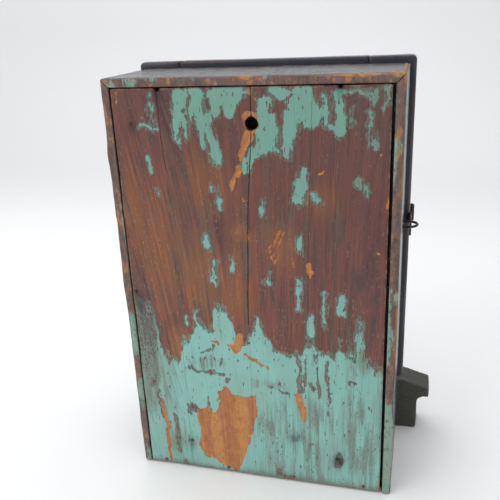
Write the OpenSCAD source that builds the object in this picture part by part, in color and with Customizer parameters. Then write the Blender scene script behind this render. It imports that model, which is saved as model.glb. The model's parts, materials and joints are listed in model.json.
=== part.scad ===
// Street fire alarm box: a wooden wall case with a hinged, hasp-locked front door. A glazed flap in
// the door covers a pull hook. The hook winds a clockwork train whose code wheel keys the line.
// Front is -Y, back is +Y, +Z is up. Origin: middle of the box's base. Depths run from the back face.

/* [Case] */
// Width over the side boards
case_w = 300; // [260:1:360]
// Height over the top board
case_h = 463; // [440:1:560]
// Depth of the side boards, back face to front edge
case_d = 115; // [106:1:150]
// Thickness of the side, top and bottom boards
board_t = 13; // [11:0.5:18]
// Wood left behind the rebate that the back board sits in
lip_t = 9.5; // [6:0.5:10]
// Thickness of the back board
back_t = 10; // [8:0.5:12]
// Shrinkage gap beside the back board, left side
back_gap = 2.6; // [0.5:0.1:4]
// Diameter of the hanging hole
hang_d = 12.5; // [8:0.5:16]
// Height of the hanging hole below the top of the case
hang_drop = 45; // [35:1:60]
// Distance between the two lower fixing holes
fix_span = 174; // [120:2:200]
// Height of the lower fixing holes
fix_z = 40; // [25:1:60]
// Diameter of the lower fixing holes
fix_d = 3; // [2:0.5:5]

/* [Door] */
// Thickness of the door frame
door_t = 19; // [18:0.5:24]
// How far the door stands out beyond each side of the case
door_side = 6.3; // [3:0.1:8]
// How far the door stands up beyond the top of the case
door_top = 7; // [2:0.5:10]
// Width of the two stiles
stile_w = 50; // [35:1:60]
// Height of the top rail
top_rail_h = 50; // [40:1:60]
// Height of the middle rail
mid_rail_h = 40; // [30:1:50]
// Height of the bottom rail
low_rail_h = 55; // [40:1:65]
// Thickness of the two panels
panel_t = 10; // [8:0.5:11]
// Radius of the door's outer corners
door_r = 5; // [2:0.5:8]
// Height of the hinge leaves
hinge_h = 50; // [36:1:60]

/* [Plinth] */
// Height of the fixed board below the door
apron_h = 82; // [76:1:100]
// Thickness of that board
apron_t = 17; // [12:0.5:18]
// Height of the plinth
plinth_h = 70.5; // [60:0.5:74]
// Depth of the plinth
plinth_d = 36; // [30:1:50]
// How far the plinth's foot stands out beyond each side
foot_out = 26; // [15:1:35]
// How far its ears stand out beyond the foot
ear_out = 14; // [8:1:20]

/* [Window] */
// Size of the square window in the upper panel
window_w = 110; // [90:1:116]
// Thickness of the glass
glass_t = 3; // [2:0.5:4]

/* [Lock] */
// Height of the hasp's middle
hasp_z = 293; // [260:1:320]
// Diameter of the staple's wire
staple_wire = 2.8; // [2:0.2:4]
// Distance between the staple's legs
staple_span = 20; // [14:1:24]
// Thickness of the hasp strap
strap_t = 2; // [1.5:0.5:3]

/* [Movement] */
// Thickness of the movement's plates
plate_t = 3; // [2:0.5:4]
// Clear distance between the plates
plate_gap = 45; // [45:1:50]
// Teeth on the great wheel
great_n = 72; // [72:12:72]
// Teeth on the code arbor's pinion
code_pinion_n = 12; // [12:1:12]
// Teeth on the code arbor's wheel
code_gear_n = 60; // [60:1:60]
// Teeth on the fly's pinion
fly_pinion_n = 10; // [10:1:10]
// Teeth on the winding pinion
wind_n = 20; // [20:1:20]
// Travel of the pull hook
pull_travel = 45; // [20:1:45]
// Radius of the code wheel
code_r = 26; // [22:1:26]
// Radius of the bell
gong_r = 35; // [30:1:36]

/* [Hidden] */
$fn = 48;
hull_fn = 32;

// Clearances
run = 0.08; // a shaft turning in a bore
slide = 0.25; // a bar sliding in a keeper
fit = 0.3; // one still piece beside another
shut = 0.4; // the shut door in front of the case

// Case
half_w = case_w / 2;
inner_x = half_w - board_t;
hang_x = -5.6;
fix_x = -3.3;
floor_t = board_t - 1;

// Depths of the front's layers, all counted from the back face
door_d = case_d + shut;
door_front = door_d + door_t;
plinth_back = case_d + apron_t;
total_d = plinth_back + plinth_d;

// Door
door_x = half_w + door_side;
door_low = apron_h + 2;
door_high = case_h + door_top;
bay_x = door_x - stile_w;
bay_top = door_high - top_rail_h;
bay_low = door_low + low_rail_h;
mid_rail_z = bay_low + 96;
panel_d = door_d + 2.6;
panel_front = panel_d + panel_t;
bead_w = 6;

// Hinges
hinge_r = 3.5;
hinge_pin_r = 1.6;
hinge_x = door_x + 4.2;
hinge_z = [150, 400];
leaf_t = 2;
knuckle = 0.36 * hinge_h;

// Hasp and staple
strap_x = -(door_x + 1.4);
hasp_d = door_front + 3.4;
hasp_r = 3;
hasp_pin_r = 1.2;
hasp_half = 4.4;
staple_d = case_d - 23;
staple_straight = 4.9;

// Window, whose middle lies below the pull hook that it shows
barrel_z = case_h - 125;
hook_z = barrel_z + 79;
window_z = hook_z - 69.5;
bezel_t = 4;
bezel_w = window_w + 16;
flap_t = 8;
flap_w = bezel_w - 4;
flap_open = window_w - 16;
flap_d = panel_front + bezel_t + fit;
flap_axis_d = flap_d + flap_t / 2;
flap_axis_z = window_z + bezel_w / 2 + 2.5;
flap_pin_r = 1.2;
flap_barrel_r = 3.2;
glass_w = flap_open + 6;

// Movement: two plates standing off the back board, and the arbors between them
plate_d = back_t + 12;
front_plate_d = plate_d + plate_t + plate_gap;
face_d = front_plate_d + plate_t;
plate_x = [-66, 84];
plate_z = [case_h - 208, case_h - 38];
wheel_m = 1;
fly_m = 0.8;
wind_r = wind_n * wheel_m / 2;
barrel_x = 18;
code_angle = -60;
fly_angle = -110;
code_dist = (great_n + code_pinion_n) * wheel_m / 2;
fly_dist = (code_gear_n + fly_pinion_n) * fly_m / 2;
code_x = barrel_x + code_dist * cos(code_angle);
code_z = barrel_z + code_dist * sin(code_angle);
fly_x = code_x + fly_dist * cos(fly_angle);
fly_z = code_z + fly_dist * sin(fly_angle);
arbor_r = 3;
thin_arbor_r = 2;
barrel_r = 31;
barrel_d = plate_d + plate_t + 3;
barrel_len = 20;
great_d = barrel_d + barrel_len;
great_t = 3;
ratchet_d = face_d + 1.5;
ratchet_t = 2.5;
ratchet_r = 13;
disc_d = ratchet_d + ratchet_t + fit;
disc_t = 1.5;
code_wheel_d = disc_d + disc_t + 0.7;
code_wheel_t = 2.5;

// Pull
bar_d = disc_d + disc_t + 0.4;
bar_t = 6;
bar_left = -6.5;
rack_x = barrel_x - wind_r;
bar_z = [barrel_z - 53, barrel_z + 87];
rod_r = 1.6;
rod_d = bar_d + bar_t / 2;
seat_z = bar_z[0] - 85;
seat_t = 4;
spring_r = 3.8;
spring_wire = 0.7;
spring_turns = 11;

// Bell, key and terminals
gong_x = -75;
gong_z = 175;
gong_d = 44;
arm_x = -40;
arm_z = 122;
arm_d = 34;
coil_x = [-95, -63];
coil_z = [80, 116.5];
coil_r = 11;
key_x = 70;
key_z = 165;
key_lever_d = 28;
block_x = [-22, 122];
block_z = [88, 116];
block_d = 14;
post_x = [-6, 22, 50, 78, 106];
post_z = 102;
wire_r = 1.1;

// Routes of the wires inside, as [x, depth, z]
wire_routes = [
    [[-6, 28, 103], [-6, 28, 122], [-16, 26, 134], [-30, 20, 136], [-56, 16, 132], [-63, 16, 120],
        [-63, 19, 112], [-63, 22.5, 108]],
    [[22, 28, 103], [22, 27, 122], [30, 24, 138], [38, 20, 146], [42, 16, 152], [42, 14.8, 160]],
    [[78, 28, 103], [80, 27, 122], [104, 24, 140], [126, 20, 160], [128, 20, 250], [126, 40, 320],
        [112, 66, 346], [96, 79, 352], [81, 81, 349]],
    [[106, 28, 103], [108, 27, 118], [118, 22, 136], [122, 16, 160], [122, 14, 216], [104, 14, 244],
        [90, 16, 262], [85.2, 20, 270], [79, 23.5, 276]]
];

// ---- helpers ---------------------------------------------------------------------------------

// Moves the design from the back face's depth scale to the middle of the base
module placed() {
    translate([0, total_d / 2, 0]) children();
}

// Extrudes an XZ outline from depth d forward by t
module slab(d, t) {
    translate([0, -d, 0]) rotate([90, 0, 0]) linear_extrude(t) children();
}

// Extrudes an outline drawn in (depth, z) from x towards -X by t
module side_slab(x, t) {
    translate([x, 0, 0]) rotate([90, 0, -90]) linear_extrude(t) children();
}

// Box between two x, two depths and two z
module block(x, d, z) {
    translate([x[0], -d[1], z[0]]) cube([x[1] - x[0], d[1] - d[0], z[1] - z[0]]);
}

// Round bar along the depth
module rod(x, z, d0, d1, r) {
    translate([x, -d0, z]) rotate([90, 0, 0]) cylinder(r = r, h = d1 - d0);
}

// Round bar along Z
module post(x, d, z0, z1, r) {
    translate([x, -d, z0]) cylinder(r = r, h = z1 - z0);
}

// Round bar along X
module bar(x0, x1, d, z, r) {
    translate([x0, -d, z]) rotate([0, 90, 0]) cylinder(r = r, h = x1 - x0);
}

function arc(cx, cy, r, a0, a1, n = 8) = [
    for (i = [0:n]) let (a = a0 + (a1 - a0) * i / n) [cx + r * cos(a), cy + r * sin(a)]
];

function mirrored(points) = [for (i = [len(points) - 1:-1:0]) [-points[i][0], points[i][1]]];

// Rectangle with rounded corners
module pad(x, z, r) {
    polygon(concat(
        arc(x[1] - r, z[1] - r, r, 0, 90), arc(x[0] + r, z[1] - r, r, 90, 180),
        arc(x[0] + r, z[0] + r, r, 180, 270), arc(x[1] - r, z[0] + r, r, 270, 360)
    ));
}

// Clockwork gear: radial flanks below the pitch circle and tapered tips above it
module gear(n, m, addendum = 0.9) {
    pitch = n * m / 2;
    half = 90 / n * 0.86;
    tip = pitch + addendum * m;
    root = pitch - 1.2 * m;
    tip_half = half * 0.42;
    polygon([
        for (i = [0:n - 1], p = [
            [root, -half], [pitch, -half], [tip, -tip_half],
            [tip, tip_half], [pitch, half], [root, half]
        ]) let (a = 360 * i / n + p[1]) [p[0] * cos(a), p[0] * sin(a)]
    ]);
}

module ring_of_holes(n, radius, r) {
    for (i = [0:n - 1]) rotate(360 * i / n) translate([radius, 0]) circle(r = r);
}

// Round-headed wood screw with a slot, pointing back into the wood from a face at depth d
module front_screw(x, z, d, r = 3.2, length = 9) {
    difference() {
        union() {
            rod(x, z, d - length, d + 0.2, r * 0.45);
            translate([x, -d, z]) rotate([90, 0, 0]) cylinder(r1 = r, r2 = r * 0.62, h = r * 0.6);
        }
        block([x - r, x + r], [d + r * 0.3, d + r], [z - r * 0.14, z + r * 0.14]);
    }
}

// The same screw driven sideways, from a face at x, towards -X (side = -1) or +X (side = 1)
module side_screw(x, d, z, side, r = 3.2, length = 9) {
    translate([x, -d, z]) rotate([0, -90 * side, 0]) difference() {
        union() {
            translate([0, 0, -length]) cylinder(r = r * 0.45, h = length + 0.2);
            cylinder(r1 = r, r2 = r * 0.62, h = r * 0.6);
        }
        translate([-r, -r * 0.14, r * 0.3]) cube([2 * r, r * 0.28, r]);
    }
}

function unit(v) = v / norm(v);

function tangents(p) = [
    for (i = [0:len(p) - 1]) unit(p[min(i + 1, len(p) - 1)] - p[max(i - 1, 0)])
];

function carried(t, n, i = 0) =
    i >= len(t) ? [] : let (m = unit(n - (n * t[i]) * t[i])) concat([m], carried(t, m, i + 1));

// Points of a smooth curve through the given ones
function smooth(p, steps) = [
    for (i = [0:len(p) - 2], s = [0:steps - (i == len(p) - 2 ? 0 : 1)])
        let (
            t = s / steps, a = p[max(i - 1, 0)], b = p[i], c = p[i + 1],
            d = p[min(i + 2, len(p) - 1)]
        )
        0.5 * (2 * b + (c - a) * t + (2 * a - 5 * b + 4 * c - d) * t * t
            + (3 * b - 3 * c + d - a) * t * t * t)
];

// Round tube along a line of points
module tube(p, r, sides = 8, first = [0.1, 0.2, 1]) {
    t = tangents(p);
    n = carried(t, first);
    rings = [
        for (i = [0:len(p) - 1], k = [0:sides - 1])
            p[i] + r * (cos(360 * k / sides) * n[i] + sin(360 * k / sides) * cross(t[i], n[i]))
    ];
    last = (len(p) - 1) * sides;
    polyhedron(rings, concat(
        [[for (k = [0:sides - 1]) k]],
        [for (i = [0:len(p) - 2], k = [0:sides - 1]) let (a = i * sides, b = (k + 1) % sides)
            [a + k, a + sides + k, a + sides + b, a + b]],
        [[for (k = [sides - 1:-1:0]) last + k]]
    ));
}

// ---- case ------------------------------------------------------------------------------------

// A side board, mitred to the top board, with the rebate for the back board
module side_board(side) {
    mirror([side > 0 ? 0 : 1, 0, 0]) difference() {
        slab(0, case_d) polygon([
            [half_w, 0], [half_w, case_h], [inner_x, case_h - board_t], [inner_x, 0]
        ]);
        block([inner_x - 1, half_w - lip_t], [-1, back_t], [-1, case_h - lip_t]);
    }
}

module side_board_left() {
    color("darkslategray") placed() side_board(-1);
}

module side_board_right() {
    color("darkslategray") placed() side_board(1);
}

module top_board() {
    color("darkslategray") placed() difference() {
        slab(0, case_d) polygon([
            [-half_w, case_h], [-inner_x, case_h - board_t], [inner_x, case_h - board_t],
            [half_w, case_h]
        ]);
        block([-half_w + lip_t, half_w - lip_t], [-1, back_t], [0, case_h - lip_t]);
    }
}

module bottom_board() {
    color("darkslategray") placed() block([-inner_x, inner_x], [back_t, case_d], [1, 1 + floor_t]);
}

module back_board() {
    color("cadetblue") placed() difference() {
        block([-half_w + lip_t + back_gap, half_w - lip_t - 0.8], [0, back_t], [1.5, case_h - lip_t - 0.6]);
        rod(hang_x, case_h - hang_drop, -1, back_t + 1, hang_d / 2);
        for (s = [-1, 1]) rod(fix_x + s * fix_span / 2, fix_z, -1, back_t + 1, fix_d / 2);
    }
}

// Brads through the back board into the bottom board
module back_nails() {
    color("saddlebrown") placed() for (x = [-120, -40, 40, 120])
        translate([x, 0, 7]) rotate([90, 0, 0]) union() {
            cylinder(r = 0.9, h = back_t + 8);
            cylinder(r = 1.9, h = 0.5);
        }
}

module apron_board() {
    color("darkslategray") placed() block([-half_w, half_w], [case_d, plinth_back], [0, apron_h]);
}

// Thick shaped plank with a foot, a cove and an ear at each end
module plinth() {
    foot_x = half_w + foot_out;
    ear_x = foot_x + ear_out;
    cove = 7;
    under = plinth_h * 2 / 3;
    half = concat(
        arc(foot_x - 3, 3, 3, -90, 0, 4), [[foot_x, under - cove]],
        arc(foot_x + cove, under - cove, cove, 180, 90, 6),
        arc(ear_x - 1.5, under + 2.5, 1.5, -90, 0, 3),
        arc(ear_x - 2.5, plinth_h - 11.5, 2.5, 0, 70, 4),
        arc(half_w + 6, plinth_h - 9, 9, 72, 90, 4)
    );
    color("dimgray") placed() slab(plinth_back, plinth_d) polygon(concat(half, mirrored(half)));
}

// Leaf on the case's side with a cranked web out to its two knuckles
module hinge_case_leaves() {
    color("black") placed() for (z = hinge_z) difference() {
        union() {
            block([half_w, half_w + leaf_t], [case_d - 30, case_d - 1], [z - hinge_h / 2, z + hinge_h / 2]);
            for (s = [-1, 1]) {
                low = s < 0 ? z - hinge_h / 2 : z + hinge_h / 2 - knuckle + 2;
                block([half_w, hinge_x], [door_d - hinge_r, door_d - 1.4], [low, low + knuckle - 2]);
                post(hinge_x, door_d, low, low + knuckle - 2, hinge_r);
            }
        }
        post(hinge_x, door_d, z - hinge_h, z + hinge_h, hinge_pin_r);
    }
}

module hinge_pins() {
    color("black") placed() for (z = hinge_z) {
        post(hinge_x, door_d, z - hinge_h / 2 - 1, z + hinge_h / 2 + 1, hinge_pin_r);
        for (s = [-1, 1]) translate([hinge_x, -door_d, z + s * (hinge_h / 2 + 2.6)]) sphere(r = 2.6);
    }
}

// Screws of the plinth and of the case leaves
module case_screws() {
    color("dimgray") placed() for (x = [-110, -37, 37, 110])
        front_screw(x, plinth_h / 2, total_d - 3, 4.4, plinth_d + 6);
    color("dimgray") placed() for (z = hinge_z, s = [-1, 1], d = [22, 12])
        side_screw(half_w + leaf_t, case_d - d, z + s * (d == 22 ? 0.34 : 0.2) * hinge_h, -1, 2.8, 9);
}

// Wire staple in the left side board: two legs and a half ring, for the hasp and a padlock
module staple() {
    color("black") placed() {
        for (s = [-1, 1])
            bar(-half_w - staple_straight, -half_w + 9, staple_d + s * staple_span / 2, hasp_z,
                staple_wire / 2);
        translate([-half_w - staple_straight, -staple_d, hasp_z]) rotate([0, 0, 90])
            rotate_extrude(angle = 180) translate([staple_span / 2, 0]) circle(d = staple_wire);
    }
}

// ---- door ------------------------------------------------------------------------------------

module door_outline() {
    pad([-door_x, door_x], [door_low, door_high], door_r);
}

module door_stiles() {
    color("darkslategray") placed() for (s = [-1, 1]) slab(door_d, door_t) intersection() {
        door_outline();
        translate([s * (door_x - stile_w / 2), case_h / 2]) square([stile_w, 2 * case_h], center = true);
    }
}

module door_rails() {
    color("darkslategray") placed() for (z = [[door_low, bay_low], [mid_rail_z, mid_rail_z + mid_rail_h],
        [bay_top, door_high]]) block([-bay_x, bay_x], [door_d, door_front], z);
}

module door_upper_panel() {
    color("darkslategray") placed() difference() {
        block([-bay_x, bay_x], [panel_d, panel_front], [mid_rail_z + mid_rail_h, bay_top]);
        block([-window_w / 2, window_w / 2], [0, total_d],
            [window_z - window_w / 2, window_z + window_w / 2]);
    }
}

// Fielded panel: a thin edge, a bevel and a raised middle
module door_lower_panel() {
    edge = 6;
    field = 22;
    color("darkslategray") placed() {
        block([-bay_x, bay_x], [panel_d, panel_front - edge / 2], [bay_low, mid_rail_z]);
        hull() {
            block([-bay_x + edge + 1, bay_x - edge - 1],
                [panel_front - edge / 2 - 0.1, panel_front - edge / 2],
                [bay_low + edge + 1, mid_rail_z - edge - 1]);
            block([-bay_x + field, bay_x - field], [panel_front - 1, panel_front + 2.5],
                [bay_low + field, mid_rail_z - field]);
        }
    }
}

// Quarter-round beads that hold the two panels
module panel_beads() {
    color("darkslategray") placed() for (z = [[bay_low, mid_rail_z], [mid_rail_z + mid_rail_h, bay_top]]) {
        d = z[0] < mid_rail_z ? panel_front - 3 : panel_front;
        for (s = [0, 1]) {
            side_z = s == 0 ? z[0] : z[1];
            translate([0, -d, side_z]) mirror([0, 0, s]) rotate([90, 0, 90])
                linear_extrude(2 * bay_x, center = true) bead_profile();
            mirror([s, 0, 0]) translate([-bay_x, -d, (z[0] + z[1]) / 2])
                linear_extrude(z[1] - z[0] - 2 * bead_w, center = true) rotate(180) bead_profile();
        }
    }
}

// Bead section with its square corner in the angle of the frame and the panel
module bead_profile() {
    polygon(concat([[0, 0]], arc(0, 0, bead_w - 1, 180, 90, 6)));
}

module window_bezel() {
    lug_x = bezel_w / 2 - 27;
    color("firebrick") placed() difference() {
        union() {
            slab(panel_front, bezel_t) difference() {
                pad([-bezel_w / 2, bezel_w / 2], [window_z - bezel_w / 2, window_z + bezel_w / 2], 4);
                pad([-window_w / 2 + 3, window_w / 2 - 3],
                    [window_z - window_w / 2 + 3, window_z + window_w / 2 - 3], 2);
            }
            for (s = [-1, 1]) {
                block([s * lug_x - (s > 0 ? 0 : 10), s * lug_x + (s > 0 ? 10 : 0)],
                    [panel_front, flap_axis_d], [flap_axis_z - 4, flap_axis_z]);
                bar(s * lug_x - (s > 0 ? 0 : 10), s * lug_x + (s > 0 ? 10 : 0), flap_axis_d, flap_axis_z,
                    flap_barrel_r);
                bar(s * (lug_x - 4) - 14, s * (lug_x - 4) + 14, flap_axis_d, flap_axis_z, flap_pin_r);
            }
        }
        // room for the flap's own barrel and frame
        block([-bezel_w, bezel_w], [flap_d - fit, total_d], [0, flap_axis_z - 5.2]);
    }
}

module flap_frame() {
    z = [window_z - flap_w / 2, window_z + flap_w / 2];
    lug_x = bezel_w / 2 - 27;
    color("firebrick") placed() difference() {
        union() {
            slab(flap_d, flap_t) pad([-flap_w / 2, flap_w / 2], z, 5);
            block([-lug_x + fit, lug_x - fit], [flap_d + 2, flap_d + flap_t - 2], [z[1] - 2, flap_axis_z]);
            bar(-lug_x + fit, lug_x - fit, flap_axis_d, flap_axis_z, flap_barrel_r);
        }
        slab(0, total_d) pad([-flap_open / 2, flap_open / 2],
            [window_z - flap_open / 2, window_z + flap_open / 2], 3);
        block([-glass_w / 2 - fit, glass_w / 2 + fit], [0, flap_d + 5],
            [window_z - glass_w / 2 - fit, window_z + glass_w / 2 + fit]);
        bar(-lug_x - 1, lug_x + 1, flap_axis_d, flap_axis_z, flap_pin_r + run);
    }
}

module flap_glass() {
    half = glass_w / 2;
    color("lightcyan", 0.4) placed() block([-half, half], [flap_d + 5 - glass_t, flap_d + 5],
        [window_z - half, window_z + half]);
}

// Four strips behind the glass
module flap_bars() {
    half = glass_w / 2;
    d = [flap_d + 0.2, flap_d + 5 - glass_t];
    color("dimgray") placed() for (s = [-1, 1]) {
        block([-half, half], d, [window_z + s * (half - 1.5) - 1.5, window_z + s * (half - 1.5) + 1.5]);
        block([s * (half - 1.5) - 1.5, s * (half - 1.5) + 1.5], d,
            [window_z - half + 3, window_z + half - 3]);
    }
}

module flap_knob() {
    z = window_z - (flap_w + flap_open) / 4;
    color("goldenrod") placed() translate([0, -flap_d - flap_t, z]) rotate([90, 0, 0])
        rotate_extrude() polygon(concat(
            [[0, 0], [4.5, 0], [4.5, 1.2], [2.4, 2.4], [2.4, 5]], arc(0, 8.6, 6, -40, 82, 10), [[0, 14.5]]
        ));
}

// Leaf on the door's edge with the middle knuckle
module hinge_door_leaves() {
    mid = knuckle - 2;
    reach = hinge_h / 2 - mid - 0.3;
    color("black") placed() for (z = hinge_z) difference() {
        union() {
            block([door_x, door_x + leaf_t], [door_d + 4.1, door_front - 1],
                [z - hinge_h / 2, z + hinge_h / 2]);
            block([door_x, door_x + leaf_t], [door_d + 1, door_d + 5], [z - reach, z + reach]);
            post(hinge_x, door_d, z - reach, z + reach, hinge_r);
        }
        post(hinge_x, door_d, z - hinge_h, z + hinge_h, hinge_pin_r + run);
    }
}

// Fixed leaf of the hasp on the door's front, with two knuckles and the pin
module hasp_leaf() {
    color("black") placed() {
        slab(door_front, leaf_t) pad([-door_x + 5, -door_x + 36], [hasp_z - 9, hasp_z + 9], 3);
        for (s = [-1, 1]) {
            low = hasp_z + (s > 0 ? hasp_half + 0.3 : -hasp_half - 4.9);
            block([strap_x, -door_x + 8], [door_front + 0.4, door_front + leaf_t], [low, low + 4.6]);
            post(strap_x, hasp_d, low, low + 4.6, hasp_r);
        }
        post(strap_x, hasp_d, hasp_z - hasp_half - 6, hasp_z + hasp_half + 6, hasp_pin_r);
    }
}

// Leaf-shaped strap with a slot that drops over the staple
module hasp_strap() {
    slot = staple_span + 2.2 * staple_wire;
    tip_d = staple_d - 30;
    color("black") placed() difference() {
        union() {
            side_slab(strap_x + strap_t / 2, strap_t) polygon(concat(
                [[hasp_d, hasp_z + hasp_half], [staple_d + 24, hasp_z + 5]],
                arc(staple_d, hasp_z - 31.5, 40, 80, 100, 6),
                arc(tip_d + 4, hasp_z, 4, 120, 240, 8),
                arc(staple_d, hasp_z + 31.5, 40, 260, 280, 6),
                [[staple_d + 24, hasp_z - 5], [hasp_d, hasp_z - hasp_half]]
            ));
            post(strap_x, hasp_d, hasp_z - hasp_half, hasp_z + hasp_half, hasp_r);
        }
        post(strap_x, hasp_d, hasp_z - 20, hasp_z + 20, hasp_pin_r + run);
        side_slab(strap_x + 5, 10) pad([staple_d - slot / 2, staple_d + slot / 2],
            [hasp_z - staple_wire, hasp_z + staple_wire], 2);
    }
}

module door_screws() {
    color("dimgray") placed() {
        for (x = [-1, 1], z = [-1, 1]) front_screw(x * (bezel_w / 2 - 3), window_z + z * (bezel_w / 2 - 18),
            panel_front + bezel_t - 1.2, 1.5, 8);
        for (x = [14, 28], z = [-5, 5]) front_screw(-door_x + x, hasp_z + z, door_front + leaf_t, 2.4, 9);
        for (z = hinge_z, s = [-1, 1]) side_screw(door_x + leaf_t, door_front - 8, z + s * 0.36 * hinge_h,
            -1, 2.6, 9);
    }
}

// Blank oval plate for the box's number
module number_plate() {
    z = (bay_low + mid_rail_z) / 2;
    d = panel_front + 2.5;
    color("goldenrod") placed() {
        slab(d, 1.6) difference() {
            pad([-42, 42], [z - 17, z + 17], 16);
            for (s = [-1, 1]) translate([s * 35, z]) circle(r = 1.6);
        }
        for (s = [-1, 1]) front_screw(s * 35, z, d + 1.6, 2.6, 6);
    }
}

// ---- movement --------------------------------------------------------------------------------

module plate_outline() {
    pad(plate_x, plate_z, 6);
}

module pillar_points() {
    for (x = [plate_x[0] + 8, plate_x[1] - 8], z = [plate_z[0] + 8, plate_z[1] - 8])
        translate([x, z]) children();
}

module plate_back() {
    color("goldenrod") placed() slab(plate_d, plate_t) difference() {
        plate_outline();
        translate([barrel_x, barrel_z]) circle(r = arbor_r + run);
        translate([code_x, code_z]) circle(r = thin_arbor_r + run);
        translate([fly_x, fly_z]) circle(r = thin_arbor_r + run);
        pillar_points() circle(r = 2);
    }
}

// Front plate with a tongue that carries the spring seat
module plate_front() {
    color("goldenrod") placed() {
        slab(front_plate_d, plate_t) difference() {
            union() {
                plate_outline();
                pad([-13, 13], [seat_z - 8, plate_z[0] + 10], 3);
            }
            translate([barrel_x, barrel_z]) circle(r = arbor_r + run);
            translate([code_x, code_z]) circle(r = thin_arbor_r + run);
            translate([fly_x, fly_z]) circle(r = thin_arbor_r + run);
            pillar_points() circle(r = 2);
        }
        difference() {
            block([-8, 8], [face_d, rod_d + 8], [seat_z - seat_t, seat_z]);
            post(0, rod_d, seat_z - 10, seat_z + 10, rod_r + slide);
        }
    }
}

module plate_pillars() {
    color("goldenrod") placed() {
        slab(plate_d + plate_t, plate_gap) difference() {
            pillar_points() circle(r = 4.5);
            pillar_points() circle(r = 2);
        }
        slab(back_t, plate_d - back_t) difference() {
            pillar_points() circle(r = 6);
            pillar_points() circle(r = 2);
        }
    }
}

module plate_screws() {
    color("steelblue") placed() difference() {
        union() {
            slab(face_d, 2.6) pillar_points() circle(r = 4);
            slab(back_t - 8, face_d - back_t + 8) pillar_points() circle(r = 2);
        }
        slab(face_d + 1.4, 3) pillar_points() square([10, 1], center = true);
    }
}

// Two keepers that guide the pull bar
module slide_keepers() {
    color("goldenrod") placed() for (z = [[barrel_z - 38, barrel_z - 31], [barrel_z + 22, barrel_z + 29]])
        difference() {
            block([bar_left - 4, rack_x + 4], [face_d, bar_d + bar_t + 3], z);
            block([bar_left - slide, rack_x + 0.95 + slide], [bar_d - slide, bar_d + bar_t + slide],
                [z[0] - 1, z[1] + 1]);
        }
}

// Winding arbor that turns in the plates and carries the barrel, with a square on its end
module barrel_arbor() {
    color("steelblue") placed() {
        rod(barrel_x, barrel_z, plate_d, bar_d + bar_t + 3, arbor_r);
        block([barrel_x - 2, barrel_x + 2], [bar_d + bar_t + 3, bar_d + bar_t + 12],
            [barrel_z - 2, barrel_z + 2]);
    }
}

module ratchet_wheel() {
    teeth = 24;
    color("steelblue") placed() translate([barrel_x, 0, barrel_z]) slab(ratchet_d, ratchet_t) difference() {
        polygon([for (i = [0:teeth - 1], p = [[ratchet_r, 0], [ratchet_r - 2, 1]])
            let (a = 360 / teeth * (i + p[1] * 0.08)) [p[0] * cos(a), p[0] * sin(a)]]);
        circle(r = arbor_r);
    }
}

// Pinion that the rack turns, with its disc and the pawl that drives the ratchet wheel
module winding_pinion() {
    color("goldenrod") placed() translate([barrel_x, 0, barrel_z]) difference() {
        union() {
            slab(bar_d, bar_t) rotate(180 / wind_n) gear(wind_n, wheel_m);
            rod(0, 0, disc_d + 0.5, bar_d + 0.5, 8);
            rod(0, 0, disc_d, disc_d + disc_t, 20);
            slab(ratchet_d + 0.2, disc_d - ratchet_d + 0.3) polygon(concat(
                arc(-6, 16, 3, 60, 240, 6), [[3, ratchet_r + 0.2], [6, ratchet_r + 1]]
            ));
        }
        rod(0, 0, 0, total_d, arbor_r);
    }
}

// Rack bar with its rod and collar
module pull_bar() {
    pitch = PI * wheel_m;
    half = pitch / 4 * 0.86;
    first = -1;
    last = ceil(pull_travel / pitch) + 1;
    color("silver") placed() {
        slab(bar_d, bar_t) union() {
            translate([bar_left, bar_z[0]])
                square([rack_x - 1.2 - bar_left, bar_z[1] - bar_z[0]]);
            for (i = [first:last]) translate([rack_x, barrel_z + i * pitch]) polygon([
                [-1.3, -half], [0, -half], [0.9, -half * 0.42], [0.9, half * 0.42], [0, half], [-1.3, half]
            ]);
        }
        post(0, rod_d, seat_z - seat_t - 10, bar_z[0], rod_r);
        post(0, rod_d, bar_z[0] - 1.5, bar_z[0], 5);
    }
}

// Hook that the hand pulls: a stem from the bar, a drop arm and a J
module pull_hook() {
    arm_d = bar_d + bar_t + 13;
    low = hook_z - 51;
    bend = 10;
    color("firebrick") placed() {
        rod(0, hook_z, bar_d + bar_t, arm_d + 1, 4);
        side_slab(7, 14) union() {
            pad([arm_d, arm_d + 5], [low - 2, hook_z + 5], 2);
            difference() {
                translate([arm_d + bend, low]) circle(r = bend);
                translate([arm_d + bend, low]) circle(r = bend - 5);
                translate([arm_d - 10, low]) square([60, 60]);
            }
            pad([arm_d + 2 * bend - 5, arm_d + 2 * bend], [low - 2, low + 8], 2);
        }
    }
}

module pull_spring() {
    steps = 14;
    top = bar_z[0] - 1.5 - spring_wire - 0.1;
    low = seat_z + spring_wire + 0.1;
    color("silver") placed() tube([
        for (i = [0:spring_turns * steps]) let (a = 360 * i / steps)
            [spring_r * cos(a), -rod_d + spring_r * sin(a), low + (top - low) * i / (spring_turns * steps)]
    ], spring_wire, 6);
}

// Drum of the mainspring, closed at the back
module spring_barrel() {
    color("goldenrod") placed() translate([barrel_x, 0, barrel_z]) {
        slab(barrel_d, barrel_len) difference() {
            circle(r = barrel_r);
            circle(r = barrel_r - 2);
        }
        slab(barrel_d, 2) difference() {
            circle(r = barrel_r - 2);
            circle(r = arbor_r + run);
        }
    }
}

// Coiled ribbon inside the barrel
module mainspring() {
    turns = 6;
    steps = 24;
    inner = 9;
    outer = barrel_r - 2.8;
    ribbon = 0.9;
    function spiral(i, extra) = let (
            a = 360 * i / steps,
            r = inner + (outer - inner) * i / (turns * steps) + extra
        ) [r * cos(a), r * sin(a)];
    color("steelblue") placed() translate([barrel_x, 0, barrel_z])
        slab(barrel_d + 3, barrel_len - 4) polygon(concat(
            [for (i = [0:turns * steps]) spiral(i, ribbon)],
            [for (i = [turns * steps:-1:0]) spiral(i, 0)]
        ));
}

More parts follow.
